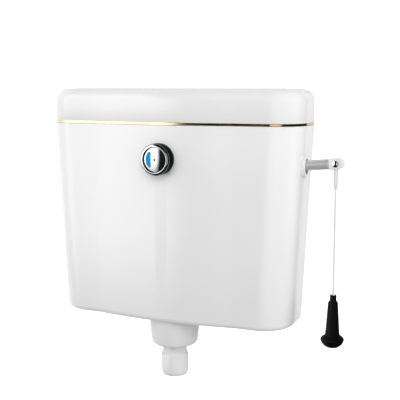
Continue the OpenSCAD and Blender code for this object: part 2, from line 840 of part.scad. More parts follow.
module valve_bell() {
    color("whitesmoke") at_outlet() difference() {
        translate([0, 0, bell_z]) cylinder(h = bell_h, r = bell_r);
        translate([0, 0, bell_z + bell_wall]) cylinder(h = bell_h - 2 * bell_wall, r = bell_r - bell_wall);
        translate([0, 0, bell_z - 1]) cylinder(h = bell_h + 2, r = overflow_r + push_gap);
    }
}

module overflow_tube() {
    color("whitesmoke") at_outlet() washer(washer_z, overflow_z, overflow_r, overflow_r - overflow_wall);
}

module lift_yoke() {
    bar_z = overflow_z + yoke_up - yoke_bar;
    color("whitesmoke") at_outlet() union() {
        washer(overflow_z - yoke_h, overflow_z, yoke_r, overflow_r + push_gap);
        for (s = [-1, 1]) translate([s * (yoke_r - yoke_leg / 2) - yoke_leg / 2, -yoke_bar / 2, overflow_z - 1])
            cube([yoke_leg, yoke_bar, yoke_up + 1]);
        translate([-yoke_r, -yoke_bar / 2, bar_z]) cube([2 * yoke_r, yoke_bar, yoke_bar]);
        translate([0, 0, bar_z]) cylinder(h = rod_top_z - bar_z, r = lift_rod_r);
        translate([0, 0, head_z]) cylinder(h = head_t, r = head_r);
        translate([0, 0, collar_z]) cylinder(h = collar_t, r = collar_r);
    }
}

module lift_ring() {
    color("silver") at_outlet() washer(ring_z, ring_z + ring_t, head_r + 1, lift_rod_r + seat_gap);
}

module outlet_cup() {
    corner = 7;
    waist = cup_r - 3;
    color("white") at_outlet() difference() {
        translate([0, 0, cup_z]) rotate_extrude() union() {
            polygon([[0, corner], [waist, corner], [cup_r - 1, cup_h / 2], [cup_r, cup_h], [0, cup_h]]);
            translate([waist - corner, corner]) circle(corner);
            square([waist - corner, corner]);
        }
        translate([0, 0, bottom_z - cup_h + cup_floor]) cylinder(h = cup_h, r = tail_r + run_gap);
        translate([0, 0, cup_z - 1]) cylinder(h = cup_h, r = neck_r + run_gap);
    }
}

module neck_pipe() {
    flange_z = cup_z + cup_floor;
    color("white") at_outlet() difference() {
        union() {
            translate([0, 0, flange_z]) cylinder(h = neck_flange_t, r = neck_flange_r);
            translate([0, 0, neck_z]) cylinder(h = flange_z - neck_z + 1, r = neck_r);
            translate([0, 0, neck_z - spigot_h]) cylinder(h = spigot_h + 1, r = spigot_r);
        }
        translate([0, 0, neck_z - spigot_h - 1]) cylinder(h = cup_h + neck_h, r = neck_bore_r);
    }
}

module pipe_seal() {
    z0 = neck_z - spigot_h;
    color("dimgray") at_outlet() washer(z0 - seal_t, z0, spigot_r, neck_bore_r + 1);
}

module pipe_socket() {
    chamfer = 2.5;
    color("white") at_outlet() difference() {
        translate([0, 0, socket_z]) rotate_extrude()
            polygon([[0, 0], [socket_r - chamfer, 0], [socket_r, 2 * chamfer], [socket_r, socket_h - 1],
                     [socket_r - 1, socket_h], [0, socket_h]]);
        translate([0, 0, socket_z - 1]) cylinder(h = socket_h + 2, r = pipe_bore_r);
        translate([0, 0, neck_z - spigot_h - seal_t]) cylinder(h = socket_h, r = spigot_r + run_gap);
    }
}

module inlet_shank() {
    shoulder = inlet_face - inlet_nut_t - 1;
    end = inlet_face + pad_out - shank_out;
    color("gold") at_inlet() difference() {
        union() {
            translate([0, 0, shoulder]) cylinder(h = body_x - shoulder, r = shank_r);
            translate([0, 0, end]) cylinder(h = shoulder - end, r = hose_r);
            translate([0, 0, body_x - flange_t]) cylinder(h = flange_t, r = flange_r);
        }
        translate([0, 0, inlet_face - 2 * shank_out]) cylinder(h = 4 * shank_out, r = inlet_bore_r);
    }
}

module inlet_washer() {
    color("dimgray") at_inlet()
        washer(inlet_in, inlet_in + inlet_washer_t, flange_r, shank_r + slip_gap);
}

module inlet_nut() {
    color("gold") at_inlet() translate([0, 0, inlet_face - inlet_nut_t]) difference() {
        cylinder(h = inlet_nut_t, r = inlet_nut_r, $fn = 6);
        translate([0, 0, -1]) cylinder(h = inlet_nut_t + 2, r = shank_r + run_gap);
    }
}

module fill_body() {
    cheek_y = float_hub_w / 2 + 0.5;
    drop = inlet_z - float_pin_z;
    color("whitesmoke") difference() {
        union() {
            at_inlet() translate([0, 0, body_x]) cylinder(h = body_len, r = body_r);
            for (s = [-1, 1]) {
                y = -inlet_back + s * (cheek_y + cheek_w / 2);
                translate([body_end - 8, y - cheek_w / 2, float_pin_z - float_hub_r])
                    cube([float_pin_x - body_end + 8, cheek_w, 2 * float_hub_r]);
                translate([body_end - 8, y - cheek_w / 2, float_pin_z])
                    cube([8, cheek_w, drop]);
                along_y([float_pin_x, y, float_pin_z], cheek_w, float_hub_r);
            }
            translate([down_tube_x, -inlet_back, inlet_z - body_r - 4]) cylinder(h = body_r, r = down_tube_r + 2);
        }
        at_inlet() translate([0, 0, body_x - 1]) cylinder(h = body_len, r = nozzle_r);
        at_inlet() translate([0, 0, body_x + nozzle_len])
            cylinder(h = body_len, r = piston_r + 2 * run_gap);
        translate([down_tube_x, -inlet_back, inlet_z - body_r - 5])
            cylinder(h = body_r + 5, r = down_tube_r - 2.5);
        translate([down_tube_x, -inlet_back, inlet_z - body_r - 5])
            cylinder(h = 7, r = down_tube_r + push_gap);
        along_y([float_pin_x, -inlet_back, float_pin_z], 60, float_pin_r + push_gap);
    }
}

module fill_piston() {
    x0 = disc_x + disc_t;
    color("whitesmoke") at_inlet() union() {
        translate([0, 0, x0]) cylinder(h = piston_end - tip_len - x0, r = piston_r);
        translate([0, 0, x0 + 1]) cylinder(h = piston_end - x0 - 1, r = tip_r);
    }
}

module piston_disc() {
    color("dimgray") at_inlet() translate([0, 0, disc_x]) cylinder(h = disc_t, r = piston_r - 0.5);
}

module float_lever() {
    d = unit(float_at - float_from);
    color("goldenrod") difference() {
        union() {
            along_y(float_from, float_hub_w, float_hub_r);
            translate(float_from) rotate([0, -float_lean, 0]) {
                translate([-short_t / 2, -3, 0]) cube([short_t, 6, short_arm]);
                translate([0, 0, short_arm]) rotate([90, 0, 0]) cylinder(h = 6, r = push_nose_r, center = true);
            }
            bar(float_from, float_from + 14 * d, arm_r + 1.8);
        }
        along_y(float_from, 2 * float_hub_w, float_pin_r + run_gap);
        bar(float_from + 8 * d, float_from + 20 * d, arm_r + push_gap);
    }
}

module float_pin() {
    color("silver") along_y(float_from, float_hub_w + 1 + 2 * cheek_w + 2, float_pin_r);
}

module float_arm() {
    d = unit(float_at - float_from);
    color("goldenrod") bar(float_from + 8.3 * d, float_at - (float_r - 12) * d, arm_r);
}

module float_ball() {
    d = unit(float_at - float_from);
    color("orangered") difference() {
        translate(float_at) sphere(float_r);
        bar(float_from + 20 * d, float_at - (float_r - 12.3) * d, arm_r + push_gap);
    }
}

module down_tube() {
    top = inlet_z - body_r + 1.5;
    color("whitesmoke") translate([down_tube_x, -inlet_back, 0])
        washer(down_tube_z, top, down_tube_r, down_tube_r - 1.5);
}

tank();
lid();
trim_band();
button_bezel();
button_gasket();
button_nut();
push_button();
button_inset();
button_screw();
button_spring();
crank_bracket();
crank_pin();
bell_crank();
lever_rosette();
lever_bracket();
bracket_screws();
lever_pin();
lever_arm();
lever_rod();
lever_eye();
eye_pin();
cord_loop();
cord_whipping();
cord_top();
pull_cord();
cord_knot();
pull_handle();
valve_seat();
seat_gasket();
guide_cage();
seat_washer();
valve_bell();
overflow_tube();
lift_yoke();
lift_ring();
outlet_cup();
neck_pipe();
pipe_seal();
pipe_socket();
inlet_shank();
inlet_washer();
inlet_nut();
fill_body();
fill_piston();
piston_disc();
float_lever();
float_pin();
float_arm();
float_ball();
down_tube();
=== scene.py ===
# %% [markdown]
# # A wall-hung toilet cistern
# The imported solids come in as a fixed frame. The pieces that show are modelled again around them,
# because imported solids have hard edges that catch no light. The pieces inside keep their packed
# shape. Lengths are in metres, with the wall at y = 0, the front towards -Y and Z up.

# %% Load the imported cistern
import math

import bmesh
import bpy
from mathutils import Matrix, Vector


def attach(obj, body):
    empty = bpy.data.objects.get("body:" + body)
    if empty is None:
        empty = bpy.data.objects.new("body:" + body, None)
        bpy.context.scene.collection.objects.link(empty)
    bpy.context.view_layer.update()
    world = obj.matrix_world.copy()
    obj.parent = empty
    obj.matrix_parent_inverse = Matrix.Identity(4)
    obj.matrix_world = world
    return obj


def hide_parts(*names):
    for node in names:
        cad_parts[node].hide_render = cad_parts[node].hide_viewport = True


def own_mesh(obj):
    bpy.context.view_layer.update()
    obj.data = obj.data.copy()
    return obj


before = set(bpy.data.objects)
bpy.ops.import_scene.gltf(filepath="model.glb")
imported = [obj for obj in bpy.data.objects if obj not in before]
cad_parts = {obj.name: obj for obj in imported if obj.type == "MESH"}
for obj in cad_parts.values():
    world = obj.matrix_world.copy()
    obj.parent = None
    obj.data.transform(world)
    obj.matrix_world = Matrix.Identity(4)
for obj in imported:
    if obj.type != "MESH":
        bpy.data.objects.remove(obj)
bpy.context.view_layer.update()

# %% [markdown]
# ## Camera
# The photograph was taken from the front, about 23 degrees to the right and 8 degrees above the
# horizon, with a lens of about 72 mm on a 36 mm wide sensor. The angles, the distance and the lens
# were worked out from the straight edges of the tank and the lid. An aimed camera needs only a
# place and a direction, so it is set by angles about a target and not by hand.

# %% Camera
AZIMUTH, ELEVATION, DISTANCE = 22.79, 8.04, 1.16173
LENS, SENSOR_W = 72.14, 36
TARGET = Vector((0.04949, -0.0704, -0.06352))
az, el = math.radians(AZIMUTH), math.radians(ELEVATION)
away = Vector((math.sin(az) * math.cos(el), -math.cos(az) * math.cos(el), math.sin(el)))
camera = bpy.data.objects.new("camera", bpy.data.cameras.new("camera"))
bpy.context.scene.collection.objects.link(camera)
camera.data.lens, camera.data.sensor_width = LENS, SENSOR_W
camera.location = TARGET + away * DISTANCE
camera.rotation_euler = (-away).to_track_quat("-Z", "Y").to_euler()
bpy.context.scene.camera = camera
print("camera at", tuple(round(x, 3) for x in camera.location))

# %% [markdown]
# ## Small helpers for modelling by hand
# An operator acts on whatever is selected, so each piece starts with nothing selected. In edit
# mode, vertices, edges or faces are then picked by where they are, as one would click on them.
# Sizes are written in millimetres, because the cistern's drawing is, and turned into metres here.

# %% Select and edit
MM = 0.001
NEAR = 0.01  # millimetres within which a point counts as being at a place
SAME = 1e-6  # metres within which two points are merged


def alone(piece):
    """Selects one piece and nothing else."""
    bpy.ops.object.select_all(action="DESELECT")
    piece.select_set(True)
    bpy.context.view_layer.objects.active = piece


def edit(piece):
    """Goes into edit mode on one piece."""
    alone(piece)
    bpy.ops.object.mode_set(mode="EDIT")


def done():
    """Leaves edit mode."""
    bpy.ops.object.mode_set(mode="OBJECT")


def everything():
    """Selects all of the piece that is being edited."""
    bpy.ops.mesh.select_all(action="SELECT")


def at(value, wanted, near=NEAR):
    return abs(value - wanted) < near


def pick(kind, test):
    """Selects the vertices, edges or faces whose places in millimetres pass a test."""
    bpy.ops.mesh.select_mode(type=kind)
    bpy.ops.mesh.select_all(action="DESELECT")
    mesh = bmesh.from_edit_mesh(bpy.context.object.data)
    items = {"VERT": mesh.verts, "EDGE": mesh.edges, "FACE": mesh.faces}[kind]
    for item in items:
        corners = [item] if kind == "VERT" else item.verts
        item.select = all(test(corner.co / MM) for corner in corners)
    mesh.select_flush_mode()
    bmesh.update_edit_mesh(bpy.context.object.data)


# %% Move and extrude
def shift(x=0, y=0, z=0):
    """Moves what is selected by a distance in millimetres."""
    bpy.ops.transform.translate(value=(x * MM, y * MM, z * MM))


def pull_out(x=0, y=0, z=0):
    """Extrudes what is selected by a distance in millimetres."""
    bpy.ops.mesh.extrude_region_move(TRANSFORM_OT_translate={"value": (x * MM, y * MM, z * MM)})


def inset(thickness):
    """Draws the selected face's edge inwards by a distance in millimetres."""
    bpy.ops.mesh.inset(thickness=thickness * MM)


def round_edges(offset, segments, affect="EDGES"):
    """Rounds the selected edges, or corners, by a distance in millimetres."""
    bpy.ops.mesh.bevel(offset=offset * MM, segments=segments, affect=affect, profile=0.5)


def face_outwards():
    everything()
    bpy.ops.mesh.normals_make_consistent(inside=False)


def tidy_mesh():
    """Merges doubled points and turns all faces outwards."""
    bpy.ops.mesh.select_mode(type="VERT")
    everything()
    bpy.ops.mesh.remove_doubles(threshold=SAME)
    bpy.ops.mesh.normals_make_consistent(inside=False)


# %% [markdown]
# ## Cutting, rounding and placing
# Holes and bosses are cut or joined with plain cylinders, as a drill would make them. A modifier
# could stay live, but it is applied at once here, so that the next step works on the real mesh.

# %% Cut and place
ALONG_X, ALONG_Y, ALONG_Z = (1, 0, 0), (0, 1, 0), (0, 0, 1)


def smooth(piece, degrees=35):
    """Shades a piece smooth where its faces meet at less than an angle."""
    alone(piece)
    bpy.ops.object.shade_smooth_by_angle(angle=math.radians(degrees))


def settle(piece):
    """Puts the piece's place into its mesh and leaves its object at the origin."""
    alone(piece)
    bpy.ops.object.transform_apply(location=True, rotation=True, scale=True)


def apply_modifier(piece, kind, **settings):
    alone(piece)
    modifier = piece.modifiers.new(kind.lower(), kind)
    for key, value in settings.items():
        setattr(modifier, key, value)
    bpy.ops.object.modifier_apply(modifier=modifier.name)


def soften(piece, width, segments, degrees):
    """Rounds all edges sharper than an angle by a width in millimetres."""
    apply_modifier(piece, "BEVEL", width=width * MM, segments=segments, limit_method="ANGLE",
                   angle_limit=math.radians(degrees))


def carve(piece, cutter, operation="DIFFERENCE"):
    """Cuts one piece with another, or joins them, and removes the tool."""
    apply_modifier(piece, "BOOLEAN", operation=operation, solver="EXACT", object=cutter)
    bpy.data.objects.remove(cutter)


def drum(centre, radius, length, axis, sides=64):
    """A plain cylinder to cut or join with, along an axis."""
    bpy.ops.object.select_all(action="DESELECT")
    bpy.ops.mesh.primitive_cylinder_add(
        vertices=sides, radius=radius * MM, depth=length * MM, location=Vector(centre) * MM,
        rotation=Vector(axis).to_track_quat("Z", "Y").to_euler())
    piece = bpy.context.object
    settle(piece)
    return piece


def wear(piece, finish, body, slot, *nodes):
    """Gives a piece its material, its body and the solids that it stands for. Its slot is not used.
    """
    piece.data.materials.clear()
    piece.data.materials.append(finish)
    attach(piece, body)
    if nodes:
        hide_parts(*nodes)


# %% [markdown]
# ## Drawing outlines
# Most fittings are turned on a lathe or moulded round an axis, so half of their section is drawn
# and spun once. Plates with a shape of their own are drawn as an outline and pulled out. Both start
# from a single point that is extruded along the outline.

# %% Draw and spin
def rounded(centre, radius, start, end, steps):
    """Points of an arc in a section, with angles in degrees."""
    angles = [math.radians(start + (end - start) * i / steps) for i in range(steps + 1)]
    return [(centre[0] + radius * math.cos(a), centre[1] + radius * math.sin(a)) for a in angles]


def drawn(name, points, closed=False):
    """Draws points in the XZ plane as a chain of extruded vertices, and stays in edit mode."""
    bpy.ops.object.select_all(action="DESELECT")
    bpy.ops.mesh.primitive_plane_add(size=MM)
    piece = bpy.context.object
    piece.name = piece.data.name = name
    edit(piece)
    mesh = bmesh.from_edit_mesh(piece.data)
    bmesh.ops.delete(mesh, geom=list(mesh.verts)[1:], context="VERTS")
    mesh.verts.ensure_lookup_table()
    first = mesh.verts[0].co / MM
    bmesh.update_edit_mesh(piece.data)
    bpy.ops.mesh.select_mode(type="VERT")
    everything()
    x0, z0 = points[0]
    shift(x0 - first.x, -first.y, z0 - first.z)
    for x, z in list(points[1:]) + ([points[0]] if closed else []):
        pull_out(x - x0, 0, z - z0)
        x0, z0 = x, z
    everything()
    return piece


def plate(name, points, y0, y1):
    """A flat outline in the XZ plane, filled and pulled out along Y. It stays in edit mode."""
    piece = drawn(name, points, closed=True)
    bpy.ops.mesh.remove_doubles(threshold=SAME)
    bpy.ops.mesh.edge_face_add()
    everything()
    shift(y=y0)
    pull_out(y=y1 - y0)
    face_outwards()
    return piece


def turned(name, section, centre, axis=ALONG_Z, steps=72, closed=False):
    """Draws half a section and spins it once round its axis."""
    piece = drawn(name, section, closed)
    bpy.ops.mesh.spin(steps=steps, angle=math.tau, center=(0, 0, 0), axis=ALONG_Z)
    tidy_mesh()
    done()
    piece.location = Vector(centre) * MM
    piece.rotation_euler = Vector(axis).to_track_quat("Z", "Y").to_euler()
    settle(piece)
    smooth(piece)
    print(name, len(piece.data.polygons), "faces")
    return piece


# %% [markdown]
# ## Shader sums as Python
# A finish without pictures is a sum of noises and places. In the editor each sum is a Math node.
# Here a wrapped socket takes part in Python sums and adds those nodes, which reads like the formula.
# Any other node comes from one method that takes its type, its settings and its inputs.

# %% Shader helpers
class Wire:
    """A shader socket that can be added, multiplied and so on."""

    def __init__(self, tree, socket):
        self.tree, self.socket = tree, socket

    def sum(self, operation, *values):
        node = self.tree.nodes.new("ShaderNodeMath")
        node.operation = operation
        for entry, value in zip(node.inputs, values):
            plug(self.tree, entry, value)
        return Wire(self.tree, node.outputs[0])

    def __add__(self, other): return self.sum("ADD", self, other)
    def __radd__(self, other): return self.sum("ADD", other, self)
    def __sub__(self, other): return self.sum("SUBTRACT", self, other)
    def __rsub__(self, other): return self.sum("SUBTRACT", other, self)
    def __mul__(self, other): return self.sum("MULTIPLY", self, other)
    def __rmul__(self, other): return self.sum("MULTIPLY", other, self)

    def sine(self): return self.sum("SINE", self)
    def size(self): return self.sum("ABSOLUTE", self)

    def above(self, low, high):
        """0 below low, 1 above high and a straight ramp between them."""
        clamp = self.sum("MULTIPLY_ADD", self, 1 / (high - low), -low / (high - low))
        clamp.socket.node.use_clamp = True
        return clamp


def plug(tree, entry, value):
    """Puts a wire or a plain value into a socket."""
    if isinstance(value, Wire):
        tree.links.new(value.socket, entry)
    else:
        entry.default_value = value


# %% One material
class Finish:
    """A new procedural material with one Principled shader."""

    def __init__(self, name, **constants):
        self.material = bpy.data.materials.new(name)
        self.material.use_nodes = True
        self.tree = self.material.node_tree
        self.shader = self.tree.nodes["Principled BSDF"]
        self.set(**constants)
        self.place = self.node("ShaderNodeTexCoord", out="Object")

    def node(self, kind, settings=None, inputs=None, out=0):
        node = self.tree.nodes.new(kind)
        for key, value in (settings or {}).items():
            setattr(node, key, value)
        for key, value in (inputs or {}).items():
            plug(self.tree, node.inputs[key], value)
        return Wire(self.tree, node.outputs[out])

    def set(self, **values):
        for key, value in values.items():
            plug(self.tree, self.shader.inputs[key.replace("_", " ")], value)

    def noise(self, scale, detail, stretch=None):
        """Noise with features of about one metre over scale, drawn out along an axis if asked."""
        where = self.place
        if stretch:
            where = self.node("ShaderNodeMapping", inputs={"Vector": where, "Scale": stretch})
        return self.node("ShaderNodeTexNoise",
                         inputs={"Vector": where, "Scale": scale, "Detail": detail}, out="Fac")

    def axes(self):
        """The x, y and z of the surface."""
        node = self.tree.nodes.new("ShaderNodeSeparateXYZ")
        self.tree.links.new(self.place.socket, node.inputs[0])
        return [Wire(self.tree, output) for output in node.outputs]

    def mix(self, share, low, high):
        """A colour between two others."""
        return self.node("ShaderNodeMix", {"data_type": "RGBA"}, {0: share, 6: low, 7: high}, out=2)

    def bump(self, height, depth, strength):
        self.set(Normal=self.node("ShaderNodeBump", inputs={
            "Height": height, "Distance": depth, "Strength": strength}))


def grey(level, tint=(0, 0, 0)):
    return (level + tint[0], level + tint[1], level + tint[2], 1)


# %% [markdown]
# ## White plastics
# Tank, lid and fittings are glossy white mouldings. A plain white would do from afar, but a real
# moulding has a very faint mottling, a soft orange-peel ripple in its gloss and dull wiped patches,
# so three noises of different sizes make these. The outlet below is a duller white.

# %% White plastics
MOTTLE, WIPE = 0.012, 0.10


def white_plastic(name, level, roughness):
    finish = Finish(name, IOR=1.5)
    cloud = finish.noise(scale=9, detail=2)
    ripple = finish.noise(scale=160, detail=2)
    wipe = finish.noise(scale=26, detail=4)
    low, high = grey(level - MOTTLE, (0, 0, -0.004)), grey(level + MOTTLE)
    finish.set(Base_Color=finish.mix(cloud, low, high), Roughness=roughness + WIPE * wipe)
    finish.bump(ripple, depth=0.00012, strength=0.25)
    return finish.material


shell_white = white_plastic("shell_white", level=0.86, roughness=0.13)
fitting_white = white_plastic("fitting_white", level=0.82, roughness=0.22)
outlet_white = white_plastic("outlet_white", level=0.84, roughness=0.30)
print("whites:", shell_white.name, fitting_white.name, outlet_white.name)

# %% [markdown]
# ## Plastic inside the tank
# The valve and its brackets stand in water, and lime settles where the water's surface stands. The
# line is worked out from the height of the surface and wavers with the mottling, because a painted
# picture would have to be fitted to every piece.

# %% Plastic inside the tank
WATER_Z, LINE_WAVER, LINE_SHARP = -0.058, 0.004, 160
LIME = (0.62, 0.52, 0.38, 1)


def inner_plastic(name, level):
    finish = Finish(name, IOR=1.48)
    cloud = finish.noise(scale=40, detail=4)
    grain = finish.noise(scale=900, detail=2)
    height = finish.axes()[2]
    line = 1 - ((height - WATER_Z + LINE_WAVER * cloud) * LINE_SHARP).size().above(0.0, 1.0)
    base = finish.mix(cloud, grey(level - 0.05, (0.01, 0.0, -0.02)), grey(level + 0.02))
    finish.set(Base_Color=finish.mix(0.45 * line, base, LIME), Roughness=0.42 + 0.2 * grain)
    finish.bump(grain, depth=0.0001, strength=0.3)
    return finish.material


inner_white = inner_plastic("inner_white", level=0.74)
print("lime line at", WATER_Z, "m")

# %% [markdown]
# ## Metals
# Chrome is a mirror, so its look comes from the surroundings, and the finish adds only hairlines
# and a slight cloud. The gold band has fine lines along it. The button's bezel is chrome only at
# its lip: its side looks black where it mirrors the dark room, so this one finish paints it black
# and dull below a height above the tank's front, as a painted dark reflection. Two pieces would do
# as well, but the real bezel is a single one.

# %% Metals
FRONT_Y = -100  # the tank's front in the middle, in millimetres
# The painted dark reflection: its colour, and the height above the tank's front up to which the
# bezel's side is painted with it.
DARK_PAINT = (0.003, 0.004, 0.004, 1)
BLEND, PAINTED_DARK_H = 0.2, 17.2


def polished(name, low, high, roughness, stretch=(1, 1, 1), metal=1.0, painted_dark_below=None):
    """Metal with hairlines. Where asked, it is painted black and dull up to a height above the
    tank's front, as a painted dark reflection.
    """
    finish = Finish(name, Metallic=metal)
    hair = finish.noise(scale=420, detail=3, stretch=stretch)
    cloud = finish.noise(scale=35, detail=2)
    colour = finish.mix(cloud, low, high)
    # Painted dark reflection: below the lip the bezel's side is painted black and loses its gloss.
    if painted_dark_below:
        top = FRONT_Y - painted_dark_below
        foot = finish.axes()[1].above((top - BLEND) * MM, (top + BLEND) * MM)
        colour = finish.mix(foot, colour, DARK_PAINT)
        finish.set(Metallic=metal - metal * foot, IOR=1.04)
    finish.set(Base_Color=colour, Roughness=roughness + 0.05 * hair)
    finish.bump(hair, depth=0.00002, strength=0.25)
    return finish.material


DARK_CHROME = (0.36, 0.38, 0.38, 1), (0.42, 0.43, 0.43, 1)
chrome = polished("chrome", (0.62, 0.64, 0.65, 1), (0.74, 0.75, 0.76, 1), 0.04)
button_chrome = polished("button_chrome", *DARK_CHROME, 0.04)
# The bezel's chrome, with its side painted black as a dark reflection.
chrome_painted_dark_side = polished("chrome_painted_dark_side", *DARK_CHROME, 0.04, painted_dark_below=PAINTED_DARK_H)
satin_chrome = polished("satin_chrome", (0.64, 0.64, 0.65, 1), (0.73, 0.73, 0.73, 1), 0.20,
                        stretch=(0.1, 1, 1), metal=0.4)
gold = polished("gold", (0.72, 0.48, 0.19, 1), (0.86, 0.63, 0.30, 1), 0.10, stretch=(0.05, 0.4, 6))
steel = polished("steel", (0.42, 0.43, 0.44, 1), (0.58, 0.58, 0.60, 1), 0.28, stretch=(1, 0.1, 1))
brass = polished("brass", (0.60, 0.43, 0.18, 1), (0.75, 0.56, 0.27, 1), 0.24)

# %% [markdown]
# ## Rubber, handle, blue inset and float
# These are plain mouldings with a fine grain. One function makes them all, since they differ only
# in colour, gloss and grain. The handle and the dot are deep black in the photograph, so their index
# of refraction is low: that keeps the bright room from veiling them.

# %% Rubber, handle, blue inset and float
def moulded(name, low, high, roughness, grain_scale, depth, cloud_scale=30, ior=1.47):
    finish = Finish(name, IOR=ior)
    cloud = finish.noise(cloud_scale, detail=3)
    grain = finish.noise(grain_scale, detail=3)
    finish.set(Base_Color=finish.mix(cloud, low, high), Roughness=roughness + 0.14 * grain)
    finish.bump(grain, depth, strength=0.5)
    return finish.material


rubber = moulded("rubber", grey(0.012), grey(0.03), 0.62, 700, 0.0002)
black_handle = moulded("black_handle", grey(0.002), grey(0.006), 0.42, 1100, 0.00015, ior=1.16)
black_dot = moulded("black_dot", grey(0.004), grey(0.010), 0.60, 500, 0.00005, 60, ior=1.1)
blue_inset = moulded("blue_inset", (0.002, 0.24, 0.55, 1), (0.006, 0.36, 0.68, 1), 0.18, 300,
                     0.00004, 60, ior=1.2)
float_orange = moulded("float_orange", (0.55, 0.10, 0.02, 1), (0.72, 0.17, 0.03, 1), 0.34, 500,
                       0.0001)
print(len(bpy.data.materials), "materials")

# %% [markdown]
# ## Cord
# The white cord hangs from an eye on the lever's pin to a knot in the handle's mouth, and the
# photograph shows it from end to end. A limp cord with a handle on it hangs plumb, so its line is
# straight. It is a curve with a round section, because a curve keeps its thickness along any line.
# Its braid is two sets of strands that cross, worked out from the angle about the cord's axis. The
# strand pattern is the cord's real texture, and the grooves between the strands are painted darker
# as painted shade.

# %% Cord finish
EYE = Vector((242.478, -46, -5.901))
CORD_TOP, CORD_FOOT, CORD_R = 38.9, 182, 1.4
STRANDS, STRAND_PITCH = 4, 2600


def braid(name):
    finish = Finish(name, Sheen_Weight=0.3, Roughness=0.75, IOR=1.45)
    x, y, z = finish.axes()
    turn = x.sum("ARCTAN2", y - EYE.y * MM, x - EYE.x * MM)
    left = (turn * STRANDS + z * STRAND_PITCH).sine()
    right = (turn * STRANDS - z * STRAND_PITCH).sine()
    strand = left * right
    fibre = finish.noise(scale=2500, detail=2)
    # Painted shade: the grooves between the strands get a darker grey than the strands' white
    # crowns.
    between, crown = (0.74, 0.73, 0.71, 1), (0.92, 0.91, 0.90, 1)
    finish.set(Base_Color=finish.mix(strand.above(-0.9, 0.7), between, crown))
    finish.bump(strand + 0.4 * fibre, depth=0.0003, strength=0.7)
    return finish.material


cord_white = braid("cord_white")

# %% Cord line
ROUTE_STEPS = 20


def tube(name, points, radius, rings=4):
    """A curve with a round section along a chain of points in metres."""
    path = bpy.data.curves.new(name, "CURVE")
    path.dimensions = "3D"
    path.bevel_depth = radius * MM
    path.bevel_resolution = rings
    path.use_fill_caps = True
    strand = path.splines.new("POLY")
    strand.points.add(len(points) - 1)
    for target, point in zip(strand.points, points):
        target.co = (*point, 1)
    piece = bpy.data.objects.new(name, path)
    bpy.context.scene.collection.objects.link(piece)
    return piece


drops = [CORD_TOP + (CORD_FOOT - CORD_TOP) * i / ROUTE_STEPS for i in range(ROUTE_STEPS + 1)]
route = [Vector((EYE.x, EYE.y, EYE.z - drop)) * MM for drop in drops]
hanging_cord = tube("hanging_cord", route, CORD_R)
wear(hanging_cord, cord_white, "pull", "cord", "pull_cord")
print("cord", round((route[0] - route[-1]).length, 4), "m")

# %% [markdown]
# ## Plan of the tank
# Tank, lid and trim band share one plan: a flat back with small rounded edges, sides, two large
# rounded front corners and a front that bows out between two upright lines. A traced outline would
# be hard to change, so it starts as a plane whose corners are bevelled. The bow is an arc that a
# single point draws when it is spun round the bow's centre.

# %% Plan outline
RIM_Z, TANK_H, HALF_W, TANK_D, BOW, BOW_HALF = 45, 290, 200, 90, 10, 110
CORNER_R, BACK_R, TAPER = 48, 6, 15
CORNER_STEPS, BACK_STEPS, BOW_STEPS = 20, 6, 32
BOW_R = (BOW_HALF ** 2 + BOW ** 2) / (2 * BOW)
FLAT_X = HALF_W - CORNER_R  # where the front corners start


def plan(name, z):
    """A face with the outline of the cistern, at a height."""
    bpy.ops.object.select_all(action="DESELECT")
    bpy.ops.mesh.primitive_plane_add(size=MM, location=(0, -TANK_D / 2 * MM, z * MM))
    piece = bpy.context.object
    piece.name = piece.data.name = name
    piece.scale = (2 * HALF_W, TANK_D, 1)
    settle(piece)
    edit(piece)
    pick("VERT", lambda p: at(p.y, -TANK_D, 1))
    round_edges(CORNER_R, CORNER_STEPS, "VERTICES")
    pick("VERT", lambda p: at(p.y, 0, 1))
    round_edges(BACK_R, BACK_STEPS, "VERTICES")
    everything()
    bpy.ops.mesh.delete(type="ONLY_FACE")
    pick("EDGE", lambda p: at(p.y, -TANK_D) and abs(p.x) < FLAT_X + NEAR)
    bpy.ops.mesh.delete(type="EDGE")
    pick("VERT", lambda p: at(p.y, -TANK_D) and p.x < -FLAT_X + NEAR)
    pull_out(x=FLAT_X - BOW_HALF)
    half_turn = math.asin(BOW_HALF / BOW_R)
    bpy.ops.mesh.spin(steps=BOW_STEPS, angle=-2 * half_turn, axis=ALONG_Z,
                      center=(0, (BOW_R - TANK_D - BOW) * MM, z * MM))
    pick("VERT", lambda p: at(p.x, BOW_HALF, 5 * NEAR) and at(p.y, -TANK_D, 5 * NEAR))
    pull_out(x=FLAT_X - BOW_HALF)
    everything()
    bpy.ops.mesh.remove_doubles(threshold=NEAR * MM)
    bpy.ops.mesh.edge_face_add()
    done()
    lowest = min(v.co.y for v in piece.data.vertices) / MM
    print(name, len(piece.data.vertices), "points, front at", round(lowest, 2), "mm")
    return piece


# %% [markdown]
# ## Tank
# The tank is drawn as its maker would draw it: the plan is pulled down, the sides are moved in at
# the foot for the taper, the underside's edge is rounded, and then the inside is pulled down from an
# inset rim. A solidify modifier would also make the wall, but not a floor of another thickness.

# %% Tapering and rounding
ARC_STEPS, PAST_BOW = 7, 5


def move_sides_in(height, amount):
    """Moves the corners and sides at one height towards the middle."""
    for side in (-1, 1):
        pick("VERT", lambda p: at(p.z, height) and p.x * side > BOW_HALF + PAST_BOW)
        shift(x=-side * amount)


